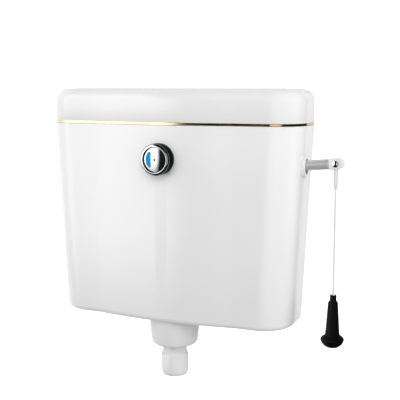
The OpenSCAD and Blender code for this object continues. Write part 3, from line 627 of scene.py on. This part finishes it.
def round_off(radius, rise, left):
    """Takes the selected face's edge inwards along a quarter circle, down or up. What is left of
    the back corners' radius closes to a point on the way, and the points there are merged."""
    share = math.acos(1 - left / radius)
    before = 0
    for low, high in ((0, share), (share, math.pi / 2)):
        for i in range(1, ARC_STEPS + 1):
            stop = low + (high - low) * i / ARC_STEPS
            if stop > before:
                inset(radius * (math.cos(before) - math.cos(stop)))
                shift(z=rise * radius * (math.sin(stop) - math.sin(before)))
                before = stop
        bpy.ops.mesh.remove_doubles(threshold=MM)


# %% Tank body
WALL, FLOOR_T, BOTTOM_Z = 3.5, 4, RIM_Z - TANK_H
BOTTOM_R, INNER_R, RIM_SOFT = 8, 6, 0.6
SHELL_SMOOTH = 28


def sink(drop):
    """Pulls the selected face down from the rim and moves its sides in for the taper."""
    pull_out(z=-drop)
    move_sides_in(RIM_Z - drop, TAPER * drop / TANK_H)


tank_shell = plan("tank_shell", RIM_Z)
edit(tank_shell)
everything()
outer_drop = TANK_H - BOTTOM_R
sink(outer_drop)
face_outwards()
pick("FACE", lambda p: at(p.z, RIM_Z - outer_drop))
round_off(BOTTOM_R, -1, BACK_R)
pick("FACE", lambda p: at(p.z, RIM_Z))
inset(WALL)
inner_drop = TANK_H - FLOOR_T - INNER_R
sink(inner_drop)
pick("FACE", lambda p: at(p.z, RIM_Z - inner_drop))
round_off(INNER_R, -1, BACK_R - WALL)
pick("EDGE", lambda p: at(p.z, RIM_Z))
round_edges(RIM_SOFT, segments=2)
done()
print("tank", len(tank_shell.data.polygons), "faces")

# %% [markdown]
# ## Bosses and holes of the tank
# The lever passes through an upright slot in a thickened pad on the right, and the water comes in
# through a boss on the left. Button, outlet and wall screws have round holes. They come last, as
# cuts, because each one is a drill's path through a finished wall.

# %% Bosses and holes of the tank
LEVER_Y, LEVER_Z = -46, -11.5
INLET_Y, INLET_Z = -21, -12
OUTLET_Y, BUTTON_Z = -52, -3
SLOT_HALF, SLOT_R, PLATE_HALF, PAD_R, PAD_IN, PAD_OUT = 3.2, 8.1, 4, 11.5, 6.89, 1
TIE_Z, TIE_R, SCREW_X, SCREW_R = 13.15, 1.4, 100, 4
BOSS_R, BOSS_T, BOSS_IN, INLET_R, BUTTON_HOLE_R, OUTLET_R = 17, 6, 2, 10.8, 9.4, 27.4
LEVER_WALL_X = HALF_W - TAPER * (RIM_Z - LEVER_Z) / TANK_H
INLET_WALL_X = HALF_W - TAPER * (RIM_Z - INLET_Z) / TANK_H


def upright(x0, x1, radius, half):
    """An upright bar with round ends, as thick along X as asked."""
    bar = drum(((x0 + x1) / 2, LEVER_Y, LEVER_Z - half), radius, x1 - x0, ALONG_X)
    edit(bar)
    pick("VERT", lambda p: p.z > LEVER_Z - half + NEAR)
    shift(z=2 * half)
    done()
    return bar


pad = upright(LEVER_WALL_X - PAD_IN, LEVER_WALL_X + PAD_OUT, PAD_R, PLATE_HALF)
carve(tank_shell, pad, "UNION")
boss = drum((-INLET_WALL_X + BOSS_IN, INLET_Y, INLET_Z), BOSS_R, BOSS_T, ALONG_X)
carve(tank_shell, boss, "UNION")
carve(tank_shell, upright(LEVER_WALL_X - 14, LEVER_WALL_X + 4, SLOT_R, SLOT_HALF))
for side in (-1, 1):
    carve(tank_shell, drum((SCREW_X * side, -2, 0), SCREW_R, length=14, axis=ALONG_Y, sides=32))
    tie = (LEVER_WALL_X - 4, LEVER_Y, LEVER_Z + TIE_Z * side)
    carve(tank_shell, drum(tie, TIE_R, length=16, axis=ALONG_X, sides=24))
for place, radius, length, axis, sides in (
        ((0, FRONT_Y, BUTTON_Z), BUTTON_HOLE_R, 14, ALONG_Y, 48),
        ((0, OUTLET_Y, BOTTOM_Z), OUTLET_R, 14, ALONG_Z, 64),
        ((-INLET_WALL_X, INLET_Y, INLET_Z), INLET_R, 24, ALONG_X, 48)):
    carve(tank_shell, drum(place, radius, length, axis, sides))
smooth(tank_shell, SHELL_SMOOTH)
wear(tank_shell, shell_white, "cistern", "shell", "tank")
print("tank with its holes", len(tank_shell.data.polygons), "faces")

# %% [markdown]
# ## Lid
# The lid is a loose cap with a big round along its top edge and a faint crown. Below, a shallow step
# takes the trim band and a lip drops inside the tank. It is the tank's plan pulled up, so that both
# always meet, and each next face is inset and pulled from the last one.

# %% Lid and its hollow
LID_H, LID_EDGE_R, BAND_H, LID_WALL, LIP_H = 51, 17, 3.7, 3, 10
LID_Z = RIM_Z + 0.1
STEP_Z, SHOULDER_Z = LID_Z + BAND_H, RIM_Z + LID_H - LID_EDGE_R
STEP_IN, LIP_IN, LIP_T, LIP_REST, CEILING_R, STEP_SOFT = 0.7, 3.4, 1.9, 0.6, 10.4, 0.25
CROWN = ((11, 0.6), (9, 0.4))
lid_shell = plan("lid_shell", STEP_Z)
edit(lid_shell)
everything()
pull_out(z=SHOULDER_Z - STEP_Z)
face_outwards()
pick("FACE", lambda p: at(p.z, STEP_Z))
inset(STEP_IN)
pull_out(z=-BAND_H)
inset(LIP_IN)
pull_out(z=RIM_Z - LIP_H - LID_Z)
inset(LIP_T)  # the back corners close here, so their points are merged before the lip's last bit
bpy.ops.mesh.remove_doubles(threshold=MM)
inset(LIP_REST)
pull_out(z=LIP_H + LID_H - LID_WALL - CEILING_R)
round_off(CEILING_R, 1, 0)

# %% Top of the lid
pick("FACE", lambda p: at(p.z, SHOULDER_Z))
round_off(LID_EDGE_R, 1, BACK_R)
for step, rise in CROWN:
    inset(step)
    shift(z=rise)
pick("EDGE", lambda p: at(p.z, STEP_Z))
round_edges(STEP_SOFT, segments=2)
done()
smooth(lid_shell, SHELL_SMOOTH)
wear(lid_shell, shell_white, "cover", "shell", "lid")
print("lid", len(lid_shell.data.polygons), "faces")

# %% [markdown]
# ## Trim band
# The gold band is a thin strip pressed into the lid's step, along the front and the sides. The
# plan's edge is pulled up into a strip, cut off short of the wall and given its thickness. A strip
# that follows the same plan can't part from the lid.

# %% Trim band
BAND_LOW, BAND_HIGH, BAND_T, BAND_PROUD, BAND_END = LID_Z + 0.2, STEP_Z - 0.1, 0.98, 0.3, -8
band = plan("gold_band", BAND_LOW)
edit(band)
everything()
bpy.ops.mesh.delete(type="ONLY_FACE")
everything()
pull_out(z=BAND_HIGH - BAND_LOW)
everything()
bpy.ops.mesh.bisect(plane_co=(0, BAND_END * MM, 0), plane_no=ALONG_Y, clear_outer=True)
face_outwards()
done()
middle = Vector((0, -TANK_D / 2 * MM, BAND_LOW * MM))
outward = sum((f.center - middle).normalized().dot(f.normal) * f.area for f in band.data.polygons)
if outward < 0:
    band.data.flip_normals()
apply_modifier(band, "SOLIDIFY", thickness=BAND_T * MM, offset=2 * BAND_PROUD / BAND_T - 1)
soften(band, width=0.35, segments=3, degrees=50)
smooth(band, 30)
wear(band, gold, "cover", "gold", "trim_band")
print("band", len(band.data.polygons), "faces")

# %% [markdown]
# ## Bezel
# The bezel is a drum with a broad chrome crest, a small rounded lip and a straight well for the
# button. It is turned from half a section, whose two arcs are worked out from the radii, so crest
# and lip stay tangent if a radius changes.

# %% Bezel
OUT = (0, -1, 0)
BUTTON_AT = (0, FRONT_Y, BUTTON_Z)
BEZEL_R, BEZEL_H, CREST, WELL, WELL_R = 23, 20, 4.3, 5.5, 18.1
LIP_R = BEZEL_R - CREST - WELL_R
bezel = turned("bezel",
               [(4.1, -12), (9, -12), (9, 1.5), (22.2, 1.5), (22.7, 2.2), (BEZEL_R, 6)]
               + rounded((BEZEL_R - CREST, BEZEL_H - CREST), CREST, 0, 90, 14)
               + rounded((BEZEL_R - CREST, BEZEL_H - LIP_R), LIP_R, 90, 180, 8)[1:]
               + [(WELL_R, WELL), (7.2, WELL), (7.2, -8), (4.1, -8)],
               BUTTON_AT, OUT, 96, closed=True)
wear(bezel, chrome_painted_dark_side, "cistern", "chrome", "button_bezel")

# %% [markdown]
# ## Push button
# The button is a slightly domed disc on a plunger, with a half-moon pocket for the blue inset and a
# hole for the dark dot in its middle. The dome bends the reflection of the room, which a flat disc
# wouldn't. Pocket and hole are cuts, so their edges are real.

# %% Push button
BUTTON_R, RIM_R, FACE_H, UNDER_BUTTON, DOME_R = 17.7, 17.3, 18.5, 14.5, 120
MOON_R, MOON_CUT, MOON_CORNER, MOON_GAP, POCKET_DEEP = 14.5, 5.8, 2.2, 0.06, 1.4
DOT_R, DOT_DEEP = 1.6, 2.5


def dome(r):
    """Height of the domed button face at a radius."""
    return FACE_H - r * r / (2 * DOME_R)


def half_moon(name, radius, cut, low, high):
    """The part of a disc left of an upright line, with rounded corners, between two heights above
    the tank's front. It stays in edit mode."""
    x = -cut - MOON_CORNER
    side = math.sqrt((radius - MOON_CORNER) ** 2 - x ** 2)
    turn = math.degrees(math.atan2(side, x))
    outline = (rounded((x, side), MOON_CORNER, 0, turn, 8)
               + rounded((0, 0), radius, turn, 360 - turn, 30)[1:-1]
               + rounded((x, -side), MOON_CORNER, -turn, 0, 8))
    outline = [(x, z + BUTTON_Z) for x, z in outline]
    return plate(name, outline, FRONT_Y - low, FRONT_Y - high)


button = turned("button",
                [(0, -13.2), (4, -13.2), (4, UNDER_BUTTON), (RIM_R, UNDER_BUTTON),
                 (BUTTON_R, UNDER_BUTTON + 0.4), (BUTTON_R, dome(BUTTON_R) - 0.5)]
                + [(r, dome(r)) for r in (RIM_R, 15, 12, 9, 6, 3, 0)], BUTTON_AT, OUT, 96)
pocket = half_moon("pocket", MOON_R, MOON_CUT, FACE_H - POCKET_DEEP, FACE_H + 3)
done()
carve(button, pocket)
hole_at = (0, FRONT_Y - FACE_H, BUTTON_Z)
carve(button, drum(hole_at, DOT_R + 0.05, 2 * DOT_DEEP, ALONG_Y, 32))
smooth(button, 30)
wear(button, button_chrome, "button", "chrome", "push_button")
print("button with its pocket", len(button.data.polygons), "faces")

# %% [markdown]
# ## Dot and blue inset
# The dark dot is a small screw that stands just proud of the button. The blue half-moon is a glossy
# inset in its pocket. Its edge is rounded by three small insets, and its top then follows the
# button's dome, because a flat one would stand out of the dome on one side.

# %% Dot in the button's middle
DOT_FOOT = FACE_H - DOT_DEEP + 0.1
dot = turned("button_dot",
             [(0, DOT_FOOT), (DOT_R, DOT_FOOT), (DOT_R, FACE_H - 0.1),
              (DOT_R - 0.2, FACE_H + 0.1), (0, FACE_H + 0.15)], BUTTON_AT, OUT, 32)
wear(dot, black_dot, "button", "steel", "button_screw")

# %% Blue inset
moon = half_moon("half_moon_inset", MOON_R - MOON_GAP, MOON_CUT + MOON_GAP,
                 FACE_H - POCKET_DEEP + 0.1, FACE_H + 0.05)
pick("FACE", lambda p: p.y < FRONT_Y - FACE_H)
for step, rise in ((0.3, 0.08), (0.5, 0.06), (0.6, 0.03)):
    inset(step)
    shift(y=-rise)
pick("VERT", lambda p: p.y < FRONT_Y - FACE_H)
mesh = bmesh.from_edit_mesh(moon.data)
for vertex in mesh.verts:
    if vertex.select:
        x, z = vertex.co.x, vertex.co.z - BUTTON_Z * MM
        vertex.co.y += (x ** 2 + z ** 2) / (2 * DOME_R * MM)
bmesh.update_edit_mesh(moon.data)
done()
smooth(moon, 40)
wear(moon, blue_inset, "button", "blue", "button_inset")
print("inset", len(moon.data.polygons), "faces")

# %% [markdown]
# ## Handle
# The handle is a black turned bell: a short neck that holds the knot, a long cone and a flared foot.
# Its section was read off the photograph's outline from the foot upwards, and a small bevel softens
# the edges that a mould would leave.

# %% Handle
HANDLE_TOP = EYE.z - CORD_FOOT - 3
HANDLE_H = 76
FOOT = [(0, -HANDLE_H), (6, -HANDLE_H), (9.4, -74.7), (11.9, -72.9), (14.3, -70.2), (15.8, -67.4),
        (16.4, -65.4), (16.5, -64.5), (16.2, -63.2), (15.3, -61.8), (13.2, -60.2), (11.4, -59.0)]
CONE = [(10.4, -57.6), (10.0, -55), (9.2, -45), (8.6, -36), (8.0, -27), (7.4, -18), (7.1, -13)]
NECK = [(6.8, -11), (6.2, -9.8), (5.3, -9.0), (4.8, -8.4), (4.6, -7.6), (4.6, -0.6), (4.1, 0)]
MOUTH = [(3.1, 0), (3.1, -3.3), (0, -3.3)]
handle = turned("handle", FOOT + CONE + NECK + MOUTH, (EYE.x, EYE.y, HANDLE_TOP))
soften(handle, width=0.25, segments=2, degrees=40)
smooth(handle, 40)
wear(handle, black_handle, "pull", "black", "pull_handle")

# %% [markdown]
# ## Rosette
# A white plate with round ends covers the slot that the lever moves in. Like the slot, it is a
# cylinder whose upper half is moved up. It is slotted a little larger than the rod, and its front
# edge is rounded before the cuts, because a bevel needs a clean edge.

# %% Rosette
ROSETTE_X = LEVER_WALL_X + PAD_OUT
PLATE_R, PLATE_T, FRONT_SOFT, ROSETTE_SLOT_R, TIE_HOLE_R, TIE_DEEP = 11, 3, 1.1, 7.7, 1.22, 2.2
rosette = upright(ROSETTE_X, ROSETTE_X + PLATE_T, PLATE_R, PLATE_HALF)
rosette.name = rosette.data.name = "rosette"
edit(rosette)
pick("FACE", lambda p: p.x > ROSETTE_X + PLATE_T - NEAR)
round_edges(FRONT_SOFT, segments=5)
done()
carve(rosette, upright(ROSETTE_X - 2, ROSETTE_X + 7, ROSETTE_SLOT_R, SLOT_HALF))
for side in (-1, 1):
    tie = (ROSETTE_X, LEVER_Y, LEVER_Z + TIE_Z * side)
    carve(rosette, drum(tie, TIE_HOLE_R, 2 * TIE_DEEP, ALONG_X, 24))
soften(rosette, width=0.3, segments=2, degrees=60)
smooth(rosette, 40)
wear(rosette, shell_white, "cistern", "shell", "lever_rosette")
print("rosette", len(rosette.data.polygons), "faces")

# %% [markdown]
# ## Rod, eye block and pin
# Outside the tank the lever is a satin rod, tilted a little upwards, that carries a white eye block
# for the cord. Rod and pin are turned. The block is a plate with one round end and softened edges,
# cut for the cord's eye, the pin and the rod's spigot, as a moulded block is.

# %% Rod
TILT = math.radians(5)
ALONG = Vector((math.cos(TILT), 0, math.sin(TILT)))
REACH_FROM_WALL, PIVOT_IN = 45.4, 18.587
PIVOT = Vector((EYE.x - REACH_FROM_WALL - PIVOT_IN, LEVER_Y, LEVER_Z))
EYE_BACK = 9.5
ROD_R, ROD_NOSE, ROD_END = 7.3, 2.4, (EYE - PIVOT).length - EYE_BACK
rod = turned("rod",
             [(0, 4), (2.5, 4), (2.5, 8), (6.9, 8), (ROD_R, 8.4), (ROD_R, ROD_END - 3)]
             + rounded((ROD_R - ROD_NOSE, ROD_END - 3), ROD_NOSE, 0, 70, 8)[1:]
             + [(5.4, ROD_END), (4, ROD_END), (4, ROD_END + 3.4), (0, ROD_END + 3.4)],
             PIVOT, ALONG, 64)
wear(rod, satin_chrome, "lever", "chrome", "lever_rod")

# %% Eye block
EYE_HALF, EYE_TIP, EYE_W = 7.7, 3, 13
SLIT_R, SLIT_HALF, SLIT_DEEP, PIN_R, SPIGOT_R = 5.6, 2.3, 20, 1.5, 4


def tilt_to_eye(piece):
    """Turns a piece by the lever's tilt and moves it to the eye."""
    piece.rotation_euler = (0, -TILT, 0)
    piece.location = EYE * MM
    settle(piece)


block = plate("eye_block", [(-EYE_BACK, EYE_HALF), (-EYE_BACK, -EYE_HALF)]
              + rounded((EYE_TIP, 0), EYE_HALF, -90, 90, 24), -EYE_W / 2, EYE_W / 2)
done()
soften(block, width=1.1, segments=4, degrees=50)
tilt_to_eye(block)
slit = plate("slot", [(-SLIT_R, -SLIT_DEEP), (SLIT_R, -SLIT_DEEP)]
             + rounded((0, 0), SLIT_R, 0, 180, 24), -SLIT_HALF, SLIT_HALF)
done()
tilt_to_eye(slit)
carve(block, slit)
carve(block, drum(EYE, PIN_R + 0.02, 20, ALONG_Y, 24))
carve(block, drum(EYE - ALONG * (EYE_BACK - 1.2), SPIGOT_R + 0.02, 5, ALONG, 32))
smooth(block, 40)
wear(block, fitting_white, "lever", "shell", "lever_eye")
print("eye block", len(block.data.polygons), "faces")

# %% Eye pin
HEAD_R, HEAD_RISE, HEAD_EDGE, HEAD_STEPS = 4.6, 1.4, 0.4, 10
head = []
for i in range(HEAD_STEPS):
    a = math.pi / 2 * (1 - i / HEAD_STEPS)
    head.append((HEAD_R * math.sin(a), EYE_W / 2 + HEAD_EDGE + HEAD_RISE * math.cos(a)))
pin = turned("pin", [(0, -EYE_W / 2), (PIN_R, -EYE_W / 2), (PIN_R, EYE_W / 2), (HEAD_R, EYE_W / 2)]
             + head + [(0, EYE_W / 2 + HEAD_EDGE + HEAD_RISE)], EYE, OUT, 40)
wear(pin, chrome, "lever", "chrome", "eye_pin")

# %% [markdown]
# ## Cord eye, whipping and knot
# The cord goes round the pin as an eye of two strands. A winding of thin thread holds the strands
# together, and a stopper knot of a few turns sits in the handle's mouth. A bump could fake the
# turns, but their outline shows, so each winding is a curve that climbs round a core.

# %% Windings
TURN_STEPS = 24


def as_mesh(name, points, radius, rings=4):
    """A round tube along a chain of points in millimetres, as a mesh."""
    alone(tube(name, [Vector(point) * MM for point in points], radius, rings))
    bpy.ops.object.convert(target="MESH")
    piece = bpy.context.object
    edit(piece)
    tidy_mesh()
    done()
    smooth(piece, 60)
    return piece


def wound(name, top, foot, r_top, r_foot, turns, thread):
    """A thread wound round a core between two heights, inside a given outline."""
    core = turned(name, [(0, foot), (r_foot - thread, foot), (r_top - thread, top), (0, top)],
                  (EYE.x, EYE.y, 0), steps=32)
    points = []
    for i in range(turns * TURN_STEPS + 1):
        share = i / (turns * TURN_STEPS)
        r = r_top - thread + (r_foot - r_top) * share
        angle = math.tau * turns * share
        points.append((EYE.x + r * math.cos(angle), EYE.y + r * math.sin(angle),
                       top - thread + (foot - top + 2 * thread) * share))
    coil = as_mesh(name + "_thread", points, thread, 3)
    alone(core)
    coil.select_set(True)
    bpy.ops.object.join()
    smooth(core, 60)
    return core


# %% Eye of the cord
LOOP_DROP, LOOP_NECK, LOOP_HALF, LOOP_R = 30, 12, 1.7, 3.2
NECK_STEPS, LEG_STEPS = 8, 6
over = rounded((0, 0), LOOP_R, 180, 0, 24)
down = []
for t in range(1, NECK_STEPS + 1):
    spread = (1 + math.cos(math.pi * t / NECK_STEPS)) / 2
    down.append((LOOP_HALF + (LOOP_R - LOOP_HALF) * spread, -LOOP_NECK * t / NECK_STEPS))
down += [(LOOP_HALF, -LOOP_NECK - (LOOP_DROP - LOOP_NECK) * t / LEG_STEPS)
         for t in range(1, LEG_STEPS + 1)]
loop_path = [(-x, z) for x, z in reversed(down)] + over + down
cord_eye = as_mesh("cord_eye", [(EYE.x + x, EYE.y, EYE.z + z) for x, z in loop_path], CORD_R)
wear(cord_eye, cord_white, "cord_eye", "cord", "cord_loop")
print("cord eye", len(cord_eye.data.polygons), "faces")

# %% Whipping, tip and knot
WHIP_TOP, KNOT_TOP, TIP_Z = EYE.z - LOOP_DROP - 0.1, EYE.z - CORD_FOOT, EYE.z - CORD_TOP
whipping = wound("thread_whipping", WHIP_TOP, WHIP_TOP - 7, r_top=3.3, r_foot=1.6, turns=9,
                 thread=0.4)
wear(whipping, cord_white, "cord_eye", "cord", "cord_whipping")
tip = turned("cord_tip", rounded((0, TIP_Z), CORD_R, 0, 90, 8), (EYE.x, EYE.y, 0), steps=32)
edit(tip)
pick("EDGE", lambda p: p.z < TIP_Z + NEAR)
bpy.ops.mesh.edge_face_add()
tidy_mesh()
done()
wear(tip, cord_white, "pull", "cord", "cord_top")
knot = wound("stopper_knot", KNOT_TOP, KNOT_TOP - 6, r_top=2.2, r_foot=2.8, turns=3, thread=0.95)
wear(knot, cord_white, "pull", "cord", "cord_knot")

# %% [markdown]
# ## Return spring
# Behind the button a coil of steel wire stands on the bezel's floor. A pressed spring gets shorter,
# and a stiff one would go through the bezel. So it rides on the button and gets a mesh of its own.

# %% Return spring
SPRING_LOW, SPRING_HIGH, SPRING_R, WIRE_R, SPRING_TURNS = -7.2, 13.8, 5.6, 0.6, 7
wire_path = []
for i in range(SPRING_TURNS * TURN_STEPS + 1):
    angle = math.tau * i / TURN_STEPS
    height = SPRING_LOW + (SPRING_HIGH - SPRING_LOW) * i / (SPRING_TURNS * TURN_STEPS)
    wire_path.append((SPRING_R * math.cos(angle), FRONT_Y - height,
                      BUTTON_Z + SPRING_R * math.sin(angle)))
spring = as_mesh("return_spring", wire_path, WIRE_R, 3)
wear(spring, steel, "button", "steel", "button_spring")
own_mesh(spring)
print("spring", len(spring.data.polygons), "faces")

# %% [markdown]
# ## Outlet
# Below the tank hang a round cup, a short neck and the socket for the flush pipe, all on the valve's
# axis. They are turned, with their bores, from closed sections. Each section starts at the height
# where the one above it ends, so the three stay seated.

# %% Cup
OUTLET = (0, OUTLET_Y, 0)
CUP_H, NECK_H, SOCKET_H = 43, 15, 33.5
CUP_Z = BOTTOM_Z - CUP_H
NECK_Z = CUP_Z - NECK_H
SOCKET_Z = NECK_Z - SOCKET_H
CUP_ROUND, CUP_FLAT, CUP_R, CUP_BORE, COLLAR_R = 7.2, 28, 38, 27.05, 18.55
cup = turned("cup", [(COLLAR_R, CUP_Z), (CUP_FLAT, CUP_Z)]
             + rounded((CUP_FLAT, CUP_Z + CUP_ROUND), CUP_ROUND, -90, -5, 12)[1:]
             + [(36, CUP_Z + 14), (37, CUP_Z + 21.5), (CUP_R, BOTTOM_Z - 0.6),
                (CUP_R - 0.4, BOTTOM_Z), (CUP_BORE, BOTTOM_Z), (CUP_BORE, CUP_Z + 5),
                (COLLAR_R, CUP_Z + 5)], OUTLET, closed=True)
wear(cup, outlet_white, "cistern", "outlet_white", "outlet_cup")

# %% Neck
NECK_BORE, SPIGOT_OUT, NECK_R, FLANGE_R = 13.5, 16.5, 18.5, 25
neck = turned("neck",
              [(NECK_BORE, NECK_Z - 9), (SPIGOT_OUT, NECK_Z - 9), (SPIGOT_OUT, NECK_Z),
               (NECK_R, NECK_Z), (NECK_R, NECK_Z + 1), (17.7, CUP_Z - 5), (17.6, CUP_Z - 2),
               (NECK_R, CUP_Z), (NECK_R, CUP_Z + 5), (FLANGE_R, CUP_Z + 5),
               (FLANGE_R, CUP_Z + 9), (NECK_BORE, CUP_Z + 9)], OUTLET, closed=True)
wear(neck, outlet_white, "cistern", "outlet_white", "neck_pipe")

# %% Socket for the flush pipe
PIPE_BORE, SPIGOT_BORE, SOCKET_R = 16.25, 16.55, 20.8
socket = turned("socket",
                [(PIPE_BORE, SOCKET_Z), (18.3, SOCKET_Z), (18.8, SOCKET_Z + 0.4),
                 (20.7, SOCKET_Z + 4.6), (SOCKET_R, SOCKET_Z + 5.4), (SOCKET_R, NECK_Z - 1.2),
                 (20.5, NECK_Z - 0.5), (19.8, NECK_Z), (SPIGOT_BORE, NECK_Z),
                 (SPIGOT_BORE, NECK_Z - 13), (PIPE_BORE, NECK_Z - 13)], OUTLET, closed=True)
wear(socket, outlet_white, "cistern", "outlet_white", "pipe_socket")

# %% [markdown]
# ## The solids that stay
# The valve, the float and the brackets are inside the tank and show only with the lid up. They keep
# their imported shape, which is right for the motion, and get a finish of their own.

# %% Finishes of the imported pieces
kept = {
    rubber: ("button_gasket", "seat_gasket", "seat_washer", "pipe_seal", "inlet_washer",
             "piston_disc"),
    steel: ("crank_pin", "bracket_screws", "lever_pin", "lever_arm", "lift_ring", "float_pin"),
    brass: ("inlet_shank", "inlet_nut", "float_lever", "float_arm"),
    float_orange: ("float_ball",),
    inner_white: ("button_nut", "crank_bracket", "bell_crank", "lever_bracket", "valve_seat",
                  "guide_cage", "valve_bell", "overflow_tube", "lift_yoke", "fill_body",
                  "fill_piston", "down_tube"),
}
for finish, nodes in kept.items():
    for node in nodes:
        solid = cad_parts[node]
        solid.data.materials.clear()
        solid.data.materials.append(finish)
print(sum(len(nodes) for nodes in kept.values()), "packed pieces keep their shape")

# %% [markdown]
# ## Floor
# The photograph has a plain white ground. A pale floor that curves up behind the cistern gives one
# without a corner. It is a plane whose far edge is pulled up and whose corner is rounded. It neither
# lights the cistern nor shows in the chrome, so the lights alone decide how the cistern looks.

# %% Floor
FLOOR_Z, BACK_Y, REACH, BACKDROP_H, BEND_R, EDGE_NEAR = -0.62, 1.6, 6.0, 4.0, 1.2, 0.01
bpy.ops.object.select_all(action="DESELECT")
bpy.ops.mesh.primitive_plane_add(size=2 * REACH, location=(0, BACK_Y - REACH, FLOOR_Z))
floor = bpy.context.object
floor.name = "floor"
edit(floor)
far = (REACH - EDGE_NEAR) / MM
pick("EDGE", lambda p: p.y > far)
pull_out(z=BACKDROP_H / MM)
pick("EDGE", lambda p: p.y > far and p.z < EDGE_NEAR / MM)
round_edges(BEND_R / MM, segments=24)
done()
smooth(floor, 60)
pale = Finish("pale_floor", Roughness=0.9, Emission_Strength=0.6)
speck = pale.noise(scale=3, detail=2)
pale.set(Base_Color=pale.mix(speck, grey(0.90), grey(0.93)), Emission_Color=grey(1.0))
floor.data.materials.append(pale.material)
floor.visible_diffuse = floor.visible_glossy = False
print("floor", len(floor.data.polygons), "faces")

# %% [markdown]
# ## Lights
# The photograph's light is very even, with no hard shadow: large soft lights stand in front, on both
# sides and behind. They are hidden from reflections, because the chrome shows a window and a dark
# room instead of lamps.

# %% Lights
AIM = (0, 0, -0.1)
LIGHTS = (("front_light", (0.25, -1.1, 0.50), (0.9, 0.6), 5.4),
          ("right_light", (1.75, -0.02, 0.25), (0.8, 1.0), 11.2),
          ("left_light", (-1.75, -0.12, 0.30), (0.8, 1.0), 10),
          ("back_light", (-0.3, 1.3, 0.8), (1.0, 0.8), 2.6))
for name, place, size, watts in LIGHTS:
    lamp = bpy.data.lights.new(name, "AREA")
    lamp.shape = "RECTANGLE"
    lamp.size, lamp.size_y = size
    lamp.energy = watts
    holder = bpy.data.objects.new(name, lamp)
    bpy.context.scene.collection.objects.link(holder)
    holder.location = place
    holder.rotation_euler = (Vector(AIM) - Vector(place)).to_track_quat("-Z", "Y").to_euler()
    holder.visible_glossy = False
print(len(LIGHTS), "lights")

# %% [markdown]
# ## Surroundings
# Chrome and gold show a bright window on the left, a dark room on the right and a narrow pale strip
# in front. These are bands of directions in the world, so they stay in place when the view changes.
# Only reflections see them. The camera sees a white ground, and diffuse light is an even room.

# %% Surroundings
ROOM, GROUND, GLOOM, WINDOW, WINDOW_REAR, WINDOW_SIDE, STRIP = 0.56, 0.98, 0.02, 2.9, 0.8, 0.5, 0.9
world = bpy.data.worlds.new("studio")
world.use_nodes = True
bpy.context.scene.world = world
tree = world.node_tree
toward = tree.nodes.new("ShaderNodeSeparateXYZ")
tree.links.new(tree.nodes.new("ShaderNodeTexCoord").outputs["Generated"], toward.inputs[0])
right, back, up = [Wire(tree, output) for output in toward.outputs]
front, level = back * -1, up.size()
# The window's edge stands left of the front and leans over at the top; it ends at a sill below.
lit_side = (right * -0.92 - front * 0.39 - up * up * 0.6).above(-0.09, 0.01)
rear = WINDOW_REAR + (right * -1).above(0.5, 0.7) * WINDOW_SIDE
sill = 1 - (1 - up.above(-0.46, -0.10)) * front.above(0.0, 0.3)
window = lit_side * sill * (front.above(0.2, 0.55) * WINDOW + rear)
# The strip stands right of the front, at eye level.
strip = right.above(0.0, 0.08) * (0.68 - right).above(0.0, 0.12)
strip = strip * front.above(0.3, 0.5) * (0.45 - level).above(0.0, 0.2)
shine = window + strip * STRIP + GLOOM
path = tree.nodes.new("ShaderNodeLightPath")
mirrored = Wire(tree, path.outputs["Is Glossy Ray"])
seen = Wire(tree, path.outputs["Is Camera Ray"])
strength = mirrored * shine + seen * GROUND + (1 - mirrored - seen) * ROOM
plug(tree, tree.nodes["Background"].inputs["Color"], (1, 1, 1, 1))
plug(tree, tree.nodes["Background"].inputs["Strength"], strength)
bpy.context.scene.view_settings.view_transform = "Standard"
print("world with", len(tree.nodes), "nodes")
